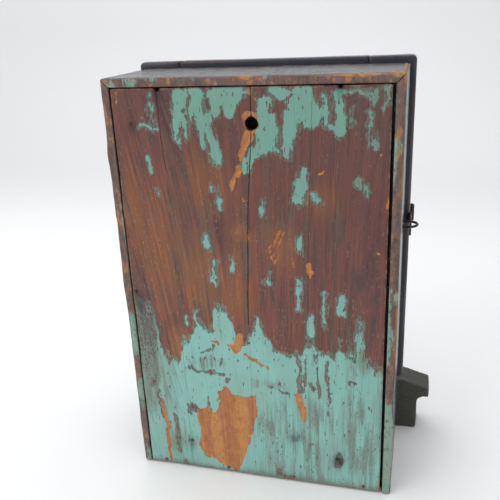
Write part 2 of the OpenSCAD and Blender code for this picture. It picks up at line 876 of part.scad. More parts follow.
module great_wheel() {
    color("goldenrod") placed() translate([barrel_x, 0, barrel_z]) slab(great_d, great_t) difference() {
        gear(great_n, wheel_m);
        circle(r = arbor_r + run);
        ring_of_holes(5, 18, 7);
    }
}

// Wheel whose rim teeth key the line in groups, one group for each figure of the box's number
module code_wheel() {
    step = 9;
    notches = [1, 3, 7, 11, 13, 15, 19, 21, 23, 25, 29, 31, 35];
    color("goldenrod") placed() translate([code_x, 0, code_z]) slab(code_wheel_d, code_wheel_t) difference() {
        circle(r = code_r);
        for (i = notches) rotate(i * step + 4.5) translate([code_r, 0]) square([6, 2.2], center = true);
        circle(r = thin_arbor_r);
        ring_of_holes(4, 14, 4.5);
    }
}

// Arbor with its pinion, its wheel and the collar behind the code wheel
module code_arbor() {
    gear_d = front_plate_d - 10;
    color("steelblue") placed() translate([code_x, 0, code_z]) {
        rod(0, 0, plate_d, code_wheel_d + code_wheel_t + 2, thin_arbor_r);
        slab(great_d - 2, great_t + 4) rotate(code_angle + 180 + 180 / code_pinion_n)
            gear(code_pinion_n, wheel_m);
        slab(gear_d, 2.5) difference() {
            rotate(fly_angle) gear(code_gear_n, fly_m);
            ring_of_holes(5, 14, 5);
        }
        slab(face_d + 0.5, code_wheel_d - face_d - 0.5) circle(r = 4);
    }
}

// Governor: an arbor with its pinion and two air vanes
module fly() {
    pinion_d = front_plate_d - 13;
    vane_d = plate_d + plate_t + 4;
    color("goldenrod") placed() translate([fly_x, 0, fly_z]) {
        rod(0, 0, plate_d, face_d, thin_arbor_r);
        slab(pinion_d, 8) rotate(fly_angle + 180 + 180 / fly_pinion_n) gear(fly_pinion_n, fly_m);
        slab(vane_d, 19) union() {
            circle(r = 3.4);
            square([28, 1], center = true);
        }
    }
}

// ---- contacts, bell, key and terminals -------------------------------------------------------

module contact_block() {
    x = code_x + code_r;
    color("black") placed() {
        difference() {
            slab(face_d, 17) pad([x - 4, x + 15], [code_z + 38.5, code_z + 52], 2);
            block([x + 0.9, x + 2.5], [face_d + 5.5, face_d + 18], [code_z + 30, code_z + 46]);
        }
        for (z = [42, 49]) front_screw(x + 10.5, code_z + z, face_d + 17, 2.2, 12);
    }
}

// Fixed leaf with its contact screw
module contact_anvil() {
    x = code_x + code_r;
    color("goldenrod") placed() {
        block([x + 5.2, x + 6.2], [face_d + 6, face_d + 13], [code_z - 6, code_z + 38.5]);
        bar(x + 3.4, x + 9, face_d + 9.5, code_z - 2, 1.5);
    }
}

// Leaf that rides on the code wheel's rim
module contact_finger() {
    x = code_x + code_r;
    color("silver") placed() {
        block([x + 1.3, x + 2.1], [face_d + 6, face_d + 13], [code_z - 10, code_z + 45]);
        translate([x + 1.4, -code_wheel_d + 1, code_z]) rotate([90, 0, 0])
            cylinder(r = 1.2, h = code_wheel_t + 2);
    }
}

module gong() {
    color("silver") placed() translate([gong_x, -gong_d, gong_z]) rotate([90, 0, 0]) rotate_extrude()
        polygon(concat(
            [[3, 13.5], [3, 15.5]], arc(0, -22, 37.5, 80, 44, 8),
            [[gong_r - 3, 2.6], [gong_r, 1], [gong_r, 0], [gong_r - 2, 0]], arc(0, -22, 35.5, 42, 82, 8)
        ));
}

// Post of the gong, its shoulder and its nut
module gong_post() {
    color("goldenrod") placed() translate([gong_x, 0, gong_z]) {
        rod(0, 0, back_t, gong_d + 13, 5);
        rod(0, 0, gong_d + 13, gong_d + 24, 2.8);
        slab(gong_d + 16, 4) difference() {
            circle(r = 6.5, $fn = 6);
            circle(r = 2.8);
        }
    }
}

module magnet_coils() {
    color("darkgreen") placed() for (x = coil_x) translate([x, -arm_d, 0]) {
        translate([0, 0, coil_z[0]]) difference() {
            union() {
                cylinder(r = coil_r + 2, h = 2);
                translate([0, 0, 2]) cylinder(r = coil_r, h = coil_z[1] - coil_z[0] - 6);
                translate([0, 0, coil_z[1] - coil_z[0] - 4]) cylinder(r = coil_r + 2, h = 2);
            }
            translate([0, 0, -1]) cylinder(r = 4, h = 60);
        }
    }
}

// Yoke plate, its two cores and the bracket that fixes it to the back board and pivots the armature
module magnet_yoke() {
    color("dimgray") placed() {
        block([coil_x[0] - 14, coil_x[1] + 14], [arm_d - 13, arm_d + 13], [coil_z[0] - 6, coil_z[0]]);
        for (x = coil_x) post(x, arm_d, coil_z[0], coil_z[1], 4);
        block([coil_x[0] - 14, coil_x[1] + 14], [back_t, arm_d - 12], [coil_z[0] - 6, coil_z[0]]);
        block([coil_x[0] - 14, coil_x[1] + 14], [back_t, back_t + 3], [coil_z[0] - 24, coil_z[0] - 6]);
        // cheeks of the armature's pivot
        for (d = [[back_t, arm_d - 7.3], [arm_d + 7.3, arm_d + 10.3]])
            difference() {
                block([arm_x - 6, arm_x + 7], d, [coil_z[0] - 6, arm_z + 6]);
                rod(arm_x, arm_z, 0, total_d, 1.5);
            }
        block([coil_x[1] + 14, arm_x + 7], [back_t, arm_d + 10.3], [coil_z[0] - 6, coil_z[0]]);
        rod(arm_x, arm_z, back_t + 2, arm_d + 10.3, 1.5);
    }
}

// Iron armature over the cores with the hammer's arm and ball
module bell_armature() {
    ball_x = arm_x + 2.5;
    ball_z = arm_z + 36;
    color("dimgray") placed() {
        difference() {
            union() {
                rod(arm_x, arm_z, arm_d - 7, arm_d + 7, 3.6);
                block([coil_x[0] - 7, arm_x], [arm_d - 7, arm_d + 7], [arm_z - 2, arm_z + 1]);
                block([arm_x + 0.5, arm_x + 3], [arm_d - 3, arm_d + 3], [arm_z + 2, arm_z + 9]);
            }
            rod(arm_x, arm_z, 0, total_d, 1.5 + run);
        }
        post(arm_x + 1.8, arm_d, arm_z + 8, ball_z, 1);
        rod(arm_x + 1.8, ball_z, arm_d - 1, gong_d + 6, 1);
        translate([ball_x, -gong_d - 4, ball_z]) sphere(r = 4);
    }
}

// Hand key for testing the line: brass base, trunnion posts, pivot and lower contact
module key_base() {
    color("goldenrod") placed() {
        slab(back_t, 4) pad([key_x - 34, key_x + 52], [key_z - 15, key_z + 15], 4);
        for (s = [-1, 1]) block([key_x - 4, key_x + 4], [back_t + 4, key_lever_d + 6],
            [key_z + s * 9 - 2.5, key_z + s * 9 + 2.5]);
        post(key_x, key_lever_d + 2.5, key_z - 11, key_z + 11, 1.5);
        rod(key_x + 30, key_z, back_t + 4, key_lever_d - 2.5, 3);
        for (x = [-28, 46]) front_screw(key_x + x, key_z + 9, back_t + 4, 3, 9);
    }
}

// Flat return spring under the key lever
module key_spring() {
    color("silver") placed() translate([0, 0, key_z - 3]) linear_extrude(6) polygon([
        [key_x - 26, -back_t - 4], [key_x - 26, -back_t - 5], [key_x + 12, -key_lever_d + 1],
        [key_x + 12, -key_lever_d + 2]
    ]);
}

// Lever of the key with its upper contact and its knob
module key_lever() {
    d = [key_lever_d, key_lever_d + 5];
    color("goldenrod") placed() {
        difference() {
            union() {
                block([key_x - 30, key_x + 46], d, [key_z - 5, key_z + 5]);
                rod(key_x + 30, key_z, key_lever_d - 1, key_lever_d + 1, 2.4);
            }
            post(key_x, key_lever_d + 2.5, key_z - 20, key_z + 20, 1.5 + run);
        }
        translate([key_x + 38, -d[1], key_z]) rotate([90, 0, 0]) rotate_extrude() polygon([
            [0, 0], [3.5, 0], [3, 4], [6, 6], [11, 7], [12, 9], [11, 11], [6, 12], [0, 12.4]
        ]);
    }
}

// Slate block behind the binding posts
module terminal_block() {
    color("slategray") placed() difference() {
        slab(back_t, block_d) pad(block_x, block_z, 3);
        for (x = post_x) rod(x, post_z, back_t + 2, 60, 2);
    }
}

module terminal_posts() {
    color("goldenrod") placed() for (x = post_x) {
        rod(x, post_z, back_t + 2, back_t + block_d + 20, 2);
        rod(x, post_z, back_t + block_d, back_t + block_d + 2.6, 5);
    }
}

// Knurled nuts
module terminal_nuts() {
    knurls = 24;
    color("goldenrod") placed() for (x = post_x) translate([x, 0, post_z])
        slab(back_t + block_d + 8, 6) difference() {
            polygon([for (i = [0:2 * knurls - 1]) let (a = 180 * i / knurls, r = i % 2 == 0 ? 5.2 : 4.7)
                [r * cos(a), r * sin(a)]]);
            circle(r = 2);
        }
}

// Lightning arrester: three toothed plates side by side across a narrow air gap
module arrester_plates() {
    d = back_t;
    x = [30, 54, 78];
    color("goldenrod") placed() translate([0, 0, 45]) for (i = [0:2]) {
        slab(d, 3) difference() {
            union() {
                translate([x[i], -8]) square([20, 22]);
                if (i < 2) for (k = [0:4]) translate([x[i] + 20, -8 + k * 4.6]) polygon([
                    [-0.1, 0], [3.2, 1.6], [-0.1, 3.2]
                ]);
            }
            translate([x[i] + 10, 3]) circle(r = 1.6);
        }
        front_screw(x[i] + 10, 3, d + 3, 3, 9);
    }
}

// Cloth-covered wires from the terminals to the bell, the key, the contacts and the frame
module wires() {
    color("darkgreen") placed() for (route = wire_routes)
        tube([for (p = smooth(route, 3)) [p[0], -p[1], p[2]]], wire_r, 8, [0.3, 1, 0.2]);
}

side_board_left();
side_board_right();
top_board();
bottom_board();
back_board();
back_nails();
apron_board();
plinth();
hinge_case_leaves();
hinge_pins();
case_screws();
staple();
plate_back();
plate_front();
plate_pillars();
plate_screws();
slide_keepers();
barrel_arbor();
ratchet_wheel();
contact_block();
contact_anvil();
gong();
gong_post();
magnet_coils();
magnet_yoke();
key_base();
key_spring();
key_lever();
terminal_block();
terminal_posts();
terminal_nuts();
arrester_plates();
wires();
door_stiles();
door_rails();
door_upper_panel();
door_lower_panel();
panel_beads();
window_bezel();
door_screws();
hinge_door_leaves();
hasp_leaf();
number_plate();
hasp_strap();
flap_frame();
flap_glass();
flap_bars();
flap_knob();
pull_bar();
pull_hook();
pull_spring();
winding_pinion();
spring_barrel();
mainspring();
great_wheel();
code_wheel();
code_arbor();
fly();
contact_finger();
bell_armature();
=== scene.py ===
"""Looks, light and camera for the street fire alarm box.

The box hangs by its back (+Y), opens at its front (-Y) and stands on z = 0. Boxes, vertices,
strokes and fields are worked out in millimetres and written back in metres. Camera, lamps and
floor are in metres. Colours are linear.
"""
import json
import math

import bmesh
import bpy
import numpy as np
from mathutils import Matrix, Vector


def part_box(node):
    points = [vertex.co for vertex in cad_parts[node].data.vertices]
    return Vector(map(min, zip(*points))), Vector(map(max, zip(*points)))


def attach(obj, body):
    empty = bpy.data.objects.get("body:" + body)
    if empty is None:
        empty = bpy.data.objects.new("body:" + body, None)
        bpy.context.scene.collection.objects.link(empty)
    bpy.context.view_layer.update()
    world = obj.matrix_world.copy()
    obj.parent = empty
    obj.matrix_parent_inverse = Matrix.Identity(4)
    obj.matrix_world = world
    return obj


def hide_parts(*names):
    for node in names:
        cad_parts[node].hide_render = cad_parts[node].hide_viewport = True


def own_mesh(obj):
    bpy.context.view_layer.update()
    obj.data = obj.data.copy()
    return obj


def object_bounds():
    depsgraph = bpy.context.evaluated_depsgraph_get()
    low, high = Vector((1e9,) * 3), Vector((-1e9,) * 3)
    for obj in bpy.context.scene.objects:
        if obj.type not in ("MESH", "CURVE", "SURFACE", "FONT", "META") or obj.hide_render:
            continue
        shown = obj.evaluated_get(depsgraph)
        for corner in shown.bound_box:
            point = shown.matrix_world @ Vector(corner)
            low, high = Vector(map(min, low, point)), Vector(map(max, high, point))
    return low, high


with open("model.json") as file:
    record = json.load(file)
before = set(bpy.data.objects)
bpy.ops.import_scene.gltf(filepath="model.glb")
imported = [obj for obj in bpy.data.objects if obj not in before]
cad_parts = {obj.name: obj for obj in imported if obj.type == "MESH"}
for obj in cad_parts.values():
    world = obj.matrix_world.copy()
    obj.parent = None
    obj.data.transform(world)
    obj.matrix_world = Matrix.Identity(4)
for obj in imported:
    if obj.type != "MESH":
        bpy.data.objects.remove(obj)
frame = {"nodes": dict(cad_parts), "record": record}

cad_low, cad_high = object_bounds()
NODES = frame["nodes"]
MM = 0.001


def add_object(name, data):
    made = bpy.data.objects.new(name, data)
    bpy.context.scene.collection.objects.link(made)
    return made


def add_mesh(name, bm):
    """An object with the faces of bm, which is freed."""
    mesh = bpy.data.meshes.new(name)
    bm.to_mesh(mesh)
    bm.free()
    return add_object(name, mesh)


# ---- camera, light and floor ----

LENS_MM, SENSOR_MM = 45.41, 36.0
CAMERA_X, CAMERA_BEHIND, CAMERA_Z = -0.1627, 0.589, 0.5142
CAMERA_RIGHT, CAMERA_UP = (-0.9667, -0.2523, -0.0432), (0.0484, -0.3457, 0.9371)
SKY, SKY_STRENGTH = (0.97, 0.98, 1.0, 1), 0.78
# Each lamp: name, place, what it points at, its side, watts
LAMPS = [
    ("key", (1.3, 1.7, 1.7), (0, 0, 0.2), 1.5, 16), ("top", (0.3, -0.2, 2.4), (0, 0, 0.2), 2.2, 22),
    ("front", (0.6, -2.2, 1.6), (0, 0, 0.25), 1.6, 16),
]
FLOOR_DROP = 0.0002  # so that the floor and the plinth's foot never share a plane
PAPER_TONES = (0.87, 0.87, 0.87), (0.90, 0.90, 0.90)
# the wall's darker tone on its -x side and the far paper's darker tone are painted shade
FAR_PAPER_SHADE, WALL_SHADED_SIDE, WALL = (0.79, 0.79, 0.795), (0.71, 0.71, 0.715), (0.805, 0.805, 0.81)


def make_camera():
    """A view from behind and above, a little to the latch side."""
    data = bpy.data.cameras.new("camera")
    data.lens, data.sensor_width = LENS_MM, SENSOR_MM
    data.clip_start, data.clip_end = 0.02, 30
    right = Vector(CAMERA_RIGHT).normalized()
    back = Vector(CAMERA_RIGHT).cross(Vector(CAMERA_UP)).normalized()
    turn = Matrix((right, back.cross(right), back)).transposed().to_4x4()
    camera = add_object("camera", data)
    camera.matrix_world = Matrix.Translation((CAMERA_X, cad_high.y + CAMERA_BEHIND, CAMERA_Z)) @ turn
    bpy.context.scene.camera = camera


def make_lamp(name, place, target, size, watts):
    data = bpy.data.lights.new(name, "AREA")
    data.shape, data.size, data.size_y = "RECTANGLE", size, size
    data.energy = watts
    lamp = add_object(name, data)
    lamp.location = place
    lamp.rotation_mode = "QUATERNION"
    lamp.rotation_quaternion = (Vector(place) - Vector(target)).to_track_quat("Z", "Y")


def make_stage():
    """A pale floor that curves up into a wall beyond the box's front, and a pale sky. The wall's -x
    side and the far floor are painted darker, as painted shade.
    """
    world = bpy.data.worlds.new("studio")
    bpy.context.scene.world = world
    world.use_nodes = True
    sky = world.node_tree.nodes["Background"]
    sky.inputs[0].default_value, sky.inputs[1].default_value = SKY, SKY_STRENGTH
    bpy.context.scene.view_settings.view_transform = "Standard"
    bm = bmesh.new()
    wide, near, far, curve, high = 6.0, 5.0, -1.4, 0.5, 4.0
    line = [(near, 0.0)]
    for i in range(13):
        a = math.pi / 2 * i / 12
        line.append((far - curve * math.sin(a), curve * (1 - math.cos(a))))
    line.append((far - curve, high))
    rows = [[bm.verts.new((x, y, z - FLOOR_DROP)) for x in (-wide, wide)] for y, z in line]
    for a, b in zip(rows, rows[1:]):
        bm.faces.new((a[0], a[1], b[1], b[0]))
    floor = add_mesh("floor", bm)
    for face in floor.data.polygons:
        face.use_smooth = True
    net = Net("floor_paper", rough=0.75)
    grain = net.noise(net.place(), 6, 3)
    paper = net.mix(grain, *PAPER_TONES)
    split = net.node("ShaderNodeSeparateXYZ")
    net.put(split.inputs[0], net.place())
    across, along, up = split.outputs
    # painted shade: the wall grows darker towards its -x side
    wall = net.mix(net.step(across, -1.4, 0.2), WALL_SHADED_SIDE, WALL)
    # painted shade: the floor grows darker towards -y, from y = -0.55 m to y = -1.3 m
    paper = net.mix(net.step(along, -1.30, -0.55), FAR_PAPER_SHADE, paper)
    net.colour(net.mix(net.step(up, 0.01, 0.30), paper, wall))
    floor.data.materials.append(net.mat)


# ---- node materials ----


class Net:
    """A node material built step by step. Sockets and plain numbers can be mixed freely."""

    def __init__(self, name, rough=0.5, metal=0.0, **more):
        self.mat = bpy.data.materials.new(name)
        self.mat.use_nodes = True
        self.tree = self.mat.node_tree
        self.shader = self.tree.nodes["Principled BSDF"]
        self.shader.inputs["Roughness"].default_value = rough
        self.shader.inputs["Metallic"].default_value = metal
        for key, value in more.items():
            self.shader.inputs[key.replace("_", " ")].default_value = value

    def put(self, socket, value):
        if isinstance(value, bpy.types.NodeSocket):
            self.tree.links.new(value, socket)
        elif isinstance(value, (tuple, list)) and len(socket.default_value) == 4:
            socket.default_value = (*value[:3], 1)
        else:
            socket.default_value = value

    def node(self, kind, **props):
        made = self.tree.nodes.new(kind)
        for key, value in props.items():
            setattr(made, key, value)
        return made

    def place(self, scale=(1, 1, 1), turn=(0, 0, 0)):
        """Object coordinates, which are the box's own frame, stretched by scale."""
        coord = self.node("ShaderNodeTexCoord")
        mapping = self.node("ShaderNodeMapping")
        self.put(mapping.inputs["Vector"], coord.outputs["Object"])
        mapping.inputs["Scale"].default_value = scale
        mapping.inputs["Rotation"].default_value = turn
        return mapping.outputs["Vector"]

    def along(self, attribute, stretch):
        """Coordinates whose x is an attribute in millimetres and whose z is stretched by stretch."""
        split = self.node("ShaderNodeSeparateXYZ")
        self.put(split.inputs[0], self.place())
        joined = self.node("ShaderNodeCombineXYZ")
        self.put(joined.inputs[0], self.calc("MULTIPLY", self.attr(attribute), MM))
        self.put(joined.inputs[1], split.outputs[1])
        self.put(joined.inputs[2], self.calc("MULTIPLY", split.outputs[2], stretch))
        return joined.outputs[0]

    def noise(self, vector, scale, detail=4, rough=0.55, distort=0.0):
        made = self.node("ShaderNodeTexNoise")
        self.put(made.inputs["Vector"], vector)
        made.inputs["Scale"].default_value = scale
        made.inputs["Detail"].default_value = detail
        made.inputs["Roughness"].default_value = rough
        made.inputs["Distortion"].default_value = distort
        return made.outputs["Fac"]

    def cells(self, vector, scale, feature="F1"):
        made = self.node("ShaderNodeTexVoronoi", feature=feature)
        self.put(made.inputs["Vector"], vector)
        made.inputs["Scale"].default_value = scale
        return made.outputs["Distance"]

    def attr(self, name):
        """A field that set_field wrote on the vertices."""
        return self.node("ShaderNodeAttribute", attribute_name=name).outputs["Fac"]

    def calc(self, op, a, b=0.0, c=0.0, clamp=False):
        made = self.node("ShaderNodeMath", operation=op, use_clamp=clamp)
        for socket, value in zip(made.inputs, (a, b, c)):
            self.put(socket, value)
        return made.outputs[0]

    def sum(self, *terms):
        """Sum of (value, weight) pairs."""
        total = 0.0
        for value, weight in terms:
            total = self.calc("MULTIPLY_ADD", value, weight, total)
        return total

    def step(self, value, low, high, to_low=0.0, to_high=1.0):
        """A smooth step from to_low at low to to_high at high. High may be below low."""
        made = self.node("ShaderNodeMapRange", interpolation_type="SMOOTHSTEP")
        for key, x in zip(("Value", "From Min", "From Max", "To Min", "To Max"),
                          (value, low, high, to_low, to_high)):
            self.put(made.inputs[key], x)
        return made.outputs[0]

    def line(self, value, near, far, depth):
        """Depth where value is close to 0 and nothing beyond far, on either side."""
        return self.step(self.calc("ABSOLUTE", value), near, far, depth, 0.0)

    def mix(self, share, a, b):
        """Colour a where share is 0 and b where it is 1."""
        made = self.node("ShaderNodeMix", data_type="RGBA")
        for slot, value in ((0, share), (6, a), (7, b)):
            self.put(made.inputs[slot], value)
        return made.outputs[2]

    def over(self, base, share, strength, colour):
        """Lays colour over base by share, at most by strength."""
        return self.mix(self.calc("MULTIPLY", share, strength), base, colour)

    def ramp(self, value, *stops):
        made = self.node("ShaderNodeValToRGB")
        points = made.color_ramp.elements
        while len(points) < len(stops):
            points.new(0.5)
        for point, (at, rgb) in zip(points, stops):
            point.position, point.color = at, (*rgb, 1)
        self.put(made.inputs[0], value)
        return made.outputs[0]

    def colour(self, value):
        self.put(self.shader.inputs["Base Color"], value)

    def rough(self, value):
        self.put(self.shader.inputs["Roughness"], value)

    def metal(self, value):
        self.put(self.shader.inputs["Metallic"], value)

    def bump(self, height, depth, strength=1.0):
        made = self.node("ShaderNodeBump")
        made.inputs["Strength"].default_value = strength
        made.inputs["Distance"].default_value = depth
        self.put(made.inputs["Height"], height)
        self.put(self.shader.inputs["Normal"], made.outputs[0])


GRAINS = {"z": (1, 1, 0.05), "x": (0.05, 1, 1)}
RUST, DOOR_WOOD, INNER_WOOD = (0.13, 0.045, 0.016), (0.17, 0.095, 0.05), (0.20, 0.105, 0.045)


def wood_layers(net, along):
    """Fine and broad wood grain running along z or x: (fine fibre, bands)."""
    stretch = GRAINS[along]
    fibre = net.noise(net.place(stretch), 900, 5, 0.65)
    bands = net.noise(net.place(stretch), 130, 4, 0.6, 0.6)
    return fibre, bands


def unpainted_inside(net, base, fibre, bands, *tones):
    """Brown wood in place of base on the faces that look into the box."""
    wood = net.ramp(net.sum((bands, 0.6), (fibre, 0.4)), *zip((0.35, 0.52, 0.70), tones))
    return net.mix(net.attr("inner"), base, wood)


def back_paint():
    """Teal flaked off old maroon paint and bare pine. The fields come from the board's vertices."""
    net = Net("back_paint", rough=0.6, Specular_IOR_Level=0.22)
    fibre = net.noise(net.along("grain", 0.022), 820, 4, 0.65)
    bands = net.noise(net.along("grain", 0.05), 105, 4, 0.62, 0.25)
    ribs = net.noise(net.along("grain", 0.035), 260, 4, 0.65)
    slow = net.noise(net.place((1, 1, 0.5)), 13, 4, 0.6)
    smear = net.noise(net.place((1, 1, 0.25)), 85, 5, 0.7, 0.3)
    crumb = net.noise(net.place((1, 1, 0.55)), 430, 4, 0.7)
    ticks = net.noise(net.place((1, 1, 0.4), (0, 0.35, 0)), 300, 3, 0.55)
    ragged = net.sum((crumb, 8.0), (fibre, 4.0), (smear, 4.5), (1.0, -8.25))
    teal = net.step(net.sum((net.attr("teal"), 1.0), (ragged, 1.0)), -0.20, 0.20)
    bare = net.step(net.sum((net.attr("bare"), 1.0), (ragged, 0.6)), -0.25, 0.25)
    # maroon coat: purple, red-brown and olive ribs along the grain, over a slow drift in tone
    maroon = net.ramp(net.sum((bands, 0.62), (slow, 0.38)),
                      (0.37, (0.070, 0.038, 0.042)), (0.44, (0.158, 0.064, 0.055)),
                      (0.50, (0.215, 0.076, 0.054)), (0.545, (0.104, 0.062, 0.052)),
                      (0.59, (0.165, 0.112, 0.080)), (0.68, (0.086, 0.050, 0.048)))
    lines = net.step(fibre, 0.47, 0.66)
    maroon = net.over(maroon, lines, 0.46, (0.060, 0.033, 0.030))
    mottle = net.noise(net.place((1, 1, 0.42)), 30, 5, 0.7, 0.5)
    maroon = net.mix(net.step(mottle, 0.52, 0.66, 0, 0.55), maroon, (0.078, 0.064, 0.060))
    maroon = net.mix(net.step(mottle, 0.48, 0.34, 0, 0.50), maroon, (0.205, 0.068, 0.056))
    pale = net.step(fibre, 0.44, 0.34, 0.0, 0.28)
    maroon = net.mix(pale, maroon, (0.290, 0.175, 0.135))
    rub = net.step(net.sum((ribs, 0.75), (fibre, 0.35), (net.attr("warm"), 0.27)), 0.60, 0.80)
    maroon = net.over(maroon, rub, 0.62, (0.300, 0.112, 0.045))
    raw = net.step(net.sum((ribs, 0.8), (crumb, 0.25), (net.attr("warm"), 0.16)), 0.70, 0.78)
    maroon = net.over(maroon, raw, 0.55, (0.38, 0.150, 0.050))
    dusty = net.step(net.sum((smear, 0.5), (ribs, -0.5), (crumb, 0.5)), 0.20, 0.44)
    maroon = net.over(maroon, dusty, 0.26, (0.165, 0.128, 0.100))
    near = net.step(net.attr("teal"), -4.0, -0.5)
    ghost = net.step(net.sum((crumb, 0.8), (fibre, 0.6), (near, 0.21)), 0.80, 0.90)
    maroon = net.over(maroon, ghost, 0.70, (0.180, 0.290, 0.240))
    maroon = net.over(maroon, net.attr("height"), 0.42, (0.082, 0.044, 0.040))
    dots = net.step(net.noise(net.place((1, 1, 0.8)), 520, 1, 0.4), 0.80, 0.83)
    maroon = net.over(maroon, dots, 0.8, (0.42, 0.45, 0.38))
    # teal coat: chalky, greyer towards the top, with dirt in the grain and small chips
    chalk = net.ramp(slow, (0.32, (0.215, 0.365, 0.305)), (0.55, (0.238, 0.482, 0.430)),
                     (0.72, (0.245, 0.400, 0.330)))
    chalk = net.over(chalk, net.attr("height"), 0.78, (0.145, 0.300, 0.232))
    scrub = net.step(net.sum((fibre, 0.55), (ribs, 0.35), (net.attr("grime"), 0.18)), 0.48, 0.64)
    chalk = net.over(chalk, scrub, 0.50, (0.140, 0.165, 0.130))
    grime = net.step(net.sum((smear, 0.6), (crumb, 0.4), (net.attr("grime"), 0.34)), 0.58, 0.90)
    chalk = net.over(chalk, grime, 0.66, (0.165, 0.165, 0.135))
    chips = net.step(net.sum((ticks, 1.0), (net.attr("grime"), 0.02)), 0.635, 0.67)
    chalk = net.over(chalk, chips, 0.85, (0.110, 0.080, 0.060))
    # bare pine: gold to red-brown, with darker lines of late wood and a few pits
    pine = net.ramp(net.sum((bands, 0.7), (slow, 0.3)), (0.36, (0.320, 0.130, 0.068)),
                    (0.45, (0.470, 0.205, 0.074)), (0.52, (0.385, 0.150, 0.068)),
                    (0.60, (0.450, 0.180, 0.078)), (0.70, (0.270, 0.100, 0.052)))
    pine = net.over(pine, lines, 0.40, (0.230, 0.085, 0.045))
    ring = net.noise(net.along("grain", 0.012), 48, 2, 0.5)
    pine = net.mix(net.step(ring, 0.40, 0.62, 0.0, 0.5), pine, (0.560, 0.270, 0.085))
    late = net.line(net.sum((ring, 1.0), (fibre, 0.06), (1.0, -0.53)), 0.003, 0.014, 0.50)
    pine = net.mix(late, pine, (0.270, 0.095, 0.060))
    stained = net.noise(net.place((1, 1, 0.6)), 110, 5, 0.7, 0.8)
    pine = net.mix(net.step(stained, 0.50, 0.64, 0, 0.55), pine, (0.300, 0.108, 0.052))
    pine = net.mix(net.step(stained, 0.45, 0.33, 0, 0.45), pine, (0.590, 0.250, 0.060))
    rubbed = net.noise(net.place((0.25, 1, 1), (0, 0.2, 0)), 330, 3, 0.6)
    pine = net.mix(net.step(rubbed, 0.64, 0.70, 0, 0.5), pine, (0.620, 0.380, 0.180))
    pine = net.mix(net.step(crumb, 0.59, 0.67, 0, 0.75), pine, (0.130, 0.062, 0.045))
    base = net.mix(teal, maroon, chalk)
    rim = net.line(net.sum((net.attr("teal"), 1.0), (ragged, 1.0)), 0.15, 0.9, 0.5)
    base = net.mix(rim, base, (0.110, 0.095, 0.080))
    worn = net.step(net.sum((net.attr("edge"), -0.6), (crumb, 3.5), (smear, 3.5), (1.0, -2.7)), 0, 0.8)
    base = net.over(base, worn, 0.8, net.mix(smear, (0.170, 0.130, 0.100), (0.430, 0.230, 0.110)))
    base = net.mix(bare, base, pine)
    base = net.mix(net.attr("dark"), base, (0.060, 0.055, 0.055))
    seams = net.line(net.sum((net.attr("split"), 1.0), (crumb, 1.2), (1.0, -0.6)), 0.22, 0.70, 0.85)
    for name, depth in (("seam_left", 0.7), ("seam_right", 0.3)):
        hair = net.line(net.sum((net.attr(name), 1.0), (crumb, 1.6), (1.0, -0.8)), 0.15, 0.65, depth)
        seams = net.calc("MAXIMUM", seams, hair)
    base = net.mix(seams, base, (0.022, 0.018, 0.016))
    # near black on the nails and their stains, and painted shade on the walls of the hole and of the
    # cuts
    base = net.mix(net.attr("pit"), base, (0.006, 0.005, 0.005))
    base = unpainted_inside(net, base, fibre, bands,
                            (0.070, 0.036, 0.018), (0.140, 0.070, 0.030), (0.090, 0.045, 0.022))
    net.colour(base)
    net.rough(net.step(net.sum((teal, 0.12), (bare, 0.2), (fibre, 0.5), (seams, 0.3)),
                       0.1, 0.8, 0.46, 0.74))
    net.bump(net.sum((teal, 0.55), (bare, -0.35), (fibre, 0.45), (ribs, 0.35), (crumb, 0.2),
                     (seams, -0.9)), 0.0008, 0.9)
    return net.mat


def old_coat(net, base, along):
    """Dust, rubbed streaks, fine crackle and small chips on a dark coat: (colour, cracks, chips)."""
    stretch = {"z": (1, 1, 0.35), "x": (0.35, 1, 1)}[along]
    cloud = net.noise(net.place(stretch), 34, 5, 0.7, 0.2)
    fine = net.noise(net.place(stretch), 240, 4, 0.65)
    dust = net.step(cloud, 0.44, 0.68)
    base = net.over(base, dust, 0.42, (0.120, 0.108, 0.105))
    streak = net.step(net.noise(net.place(GRAINS[along]), 210, 4, 0.7), 0.53, 0.70)
    base = net.over(base, streak, 0.38, (0.085, 0.062, 0.052))
    chips = net.step(net.sum((cloud, 0.55), (fine, 0.55)), 0.650, 0.665)
    under = net.mix(net.step(fine, 0.5, 0.62), (0.150, 0.075, 0.055), (0.130, 0.190, 0.155))
    base = net.over(base, chips, 0.8, under)
    web = net.cells(net.place(stretch), 170, "DISTANCE_TO_EDGE")
    cracks = net.calc("MULTIPLY", net.step(web, 0.0, 0.035, 1.0, 0.0), net.step(cloud, 0.40, 0.56))
    base = net.over(base, cracks, 0.5, (0.012, 0.010, 0.010))
    return base, cracks, chips


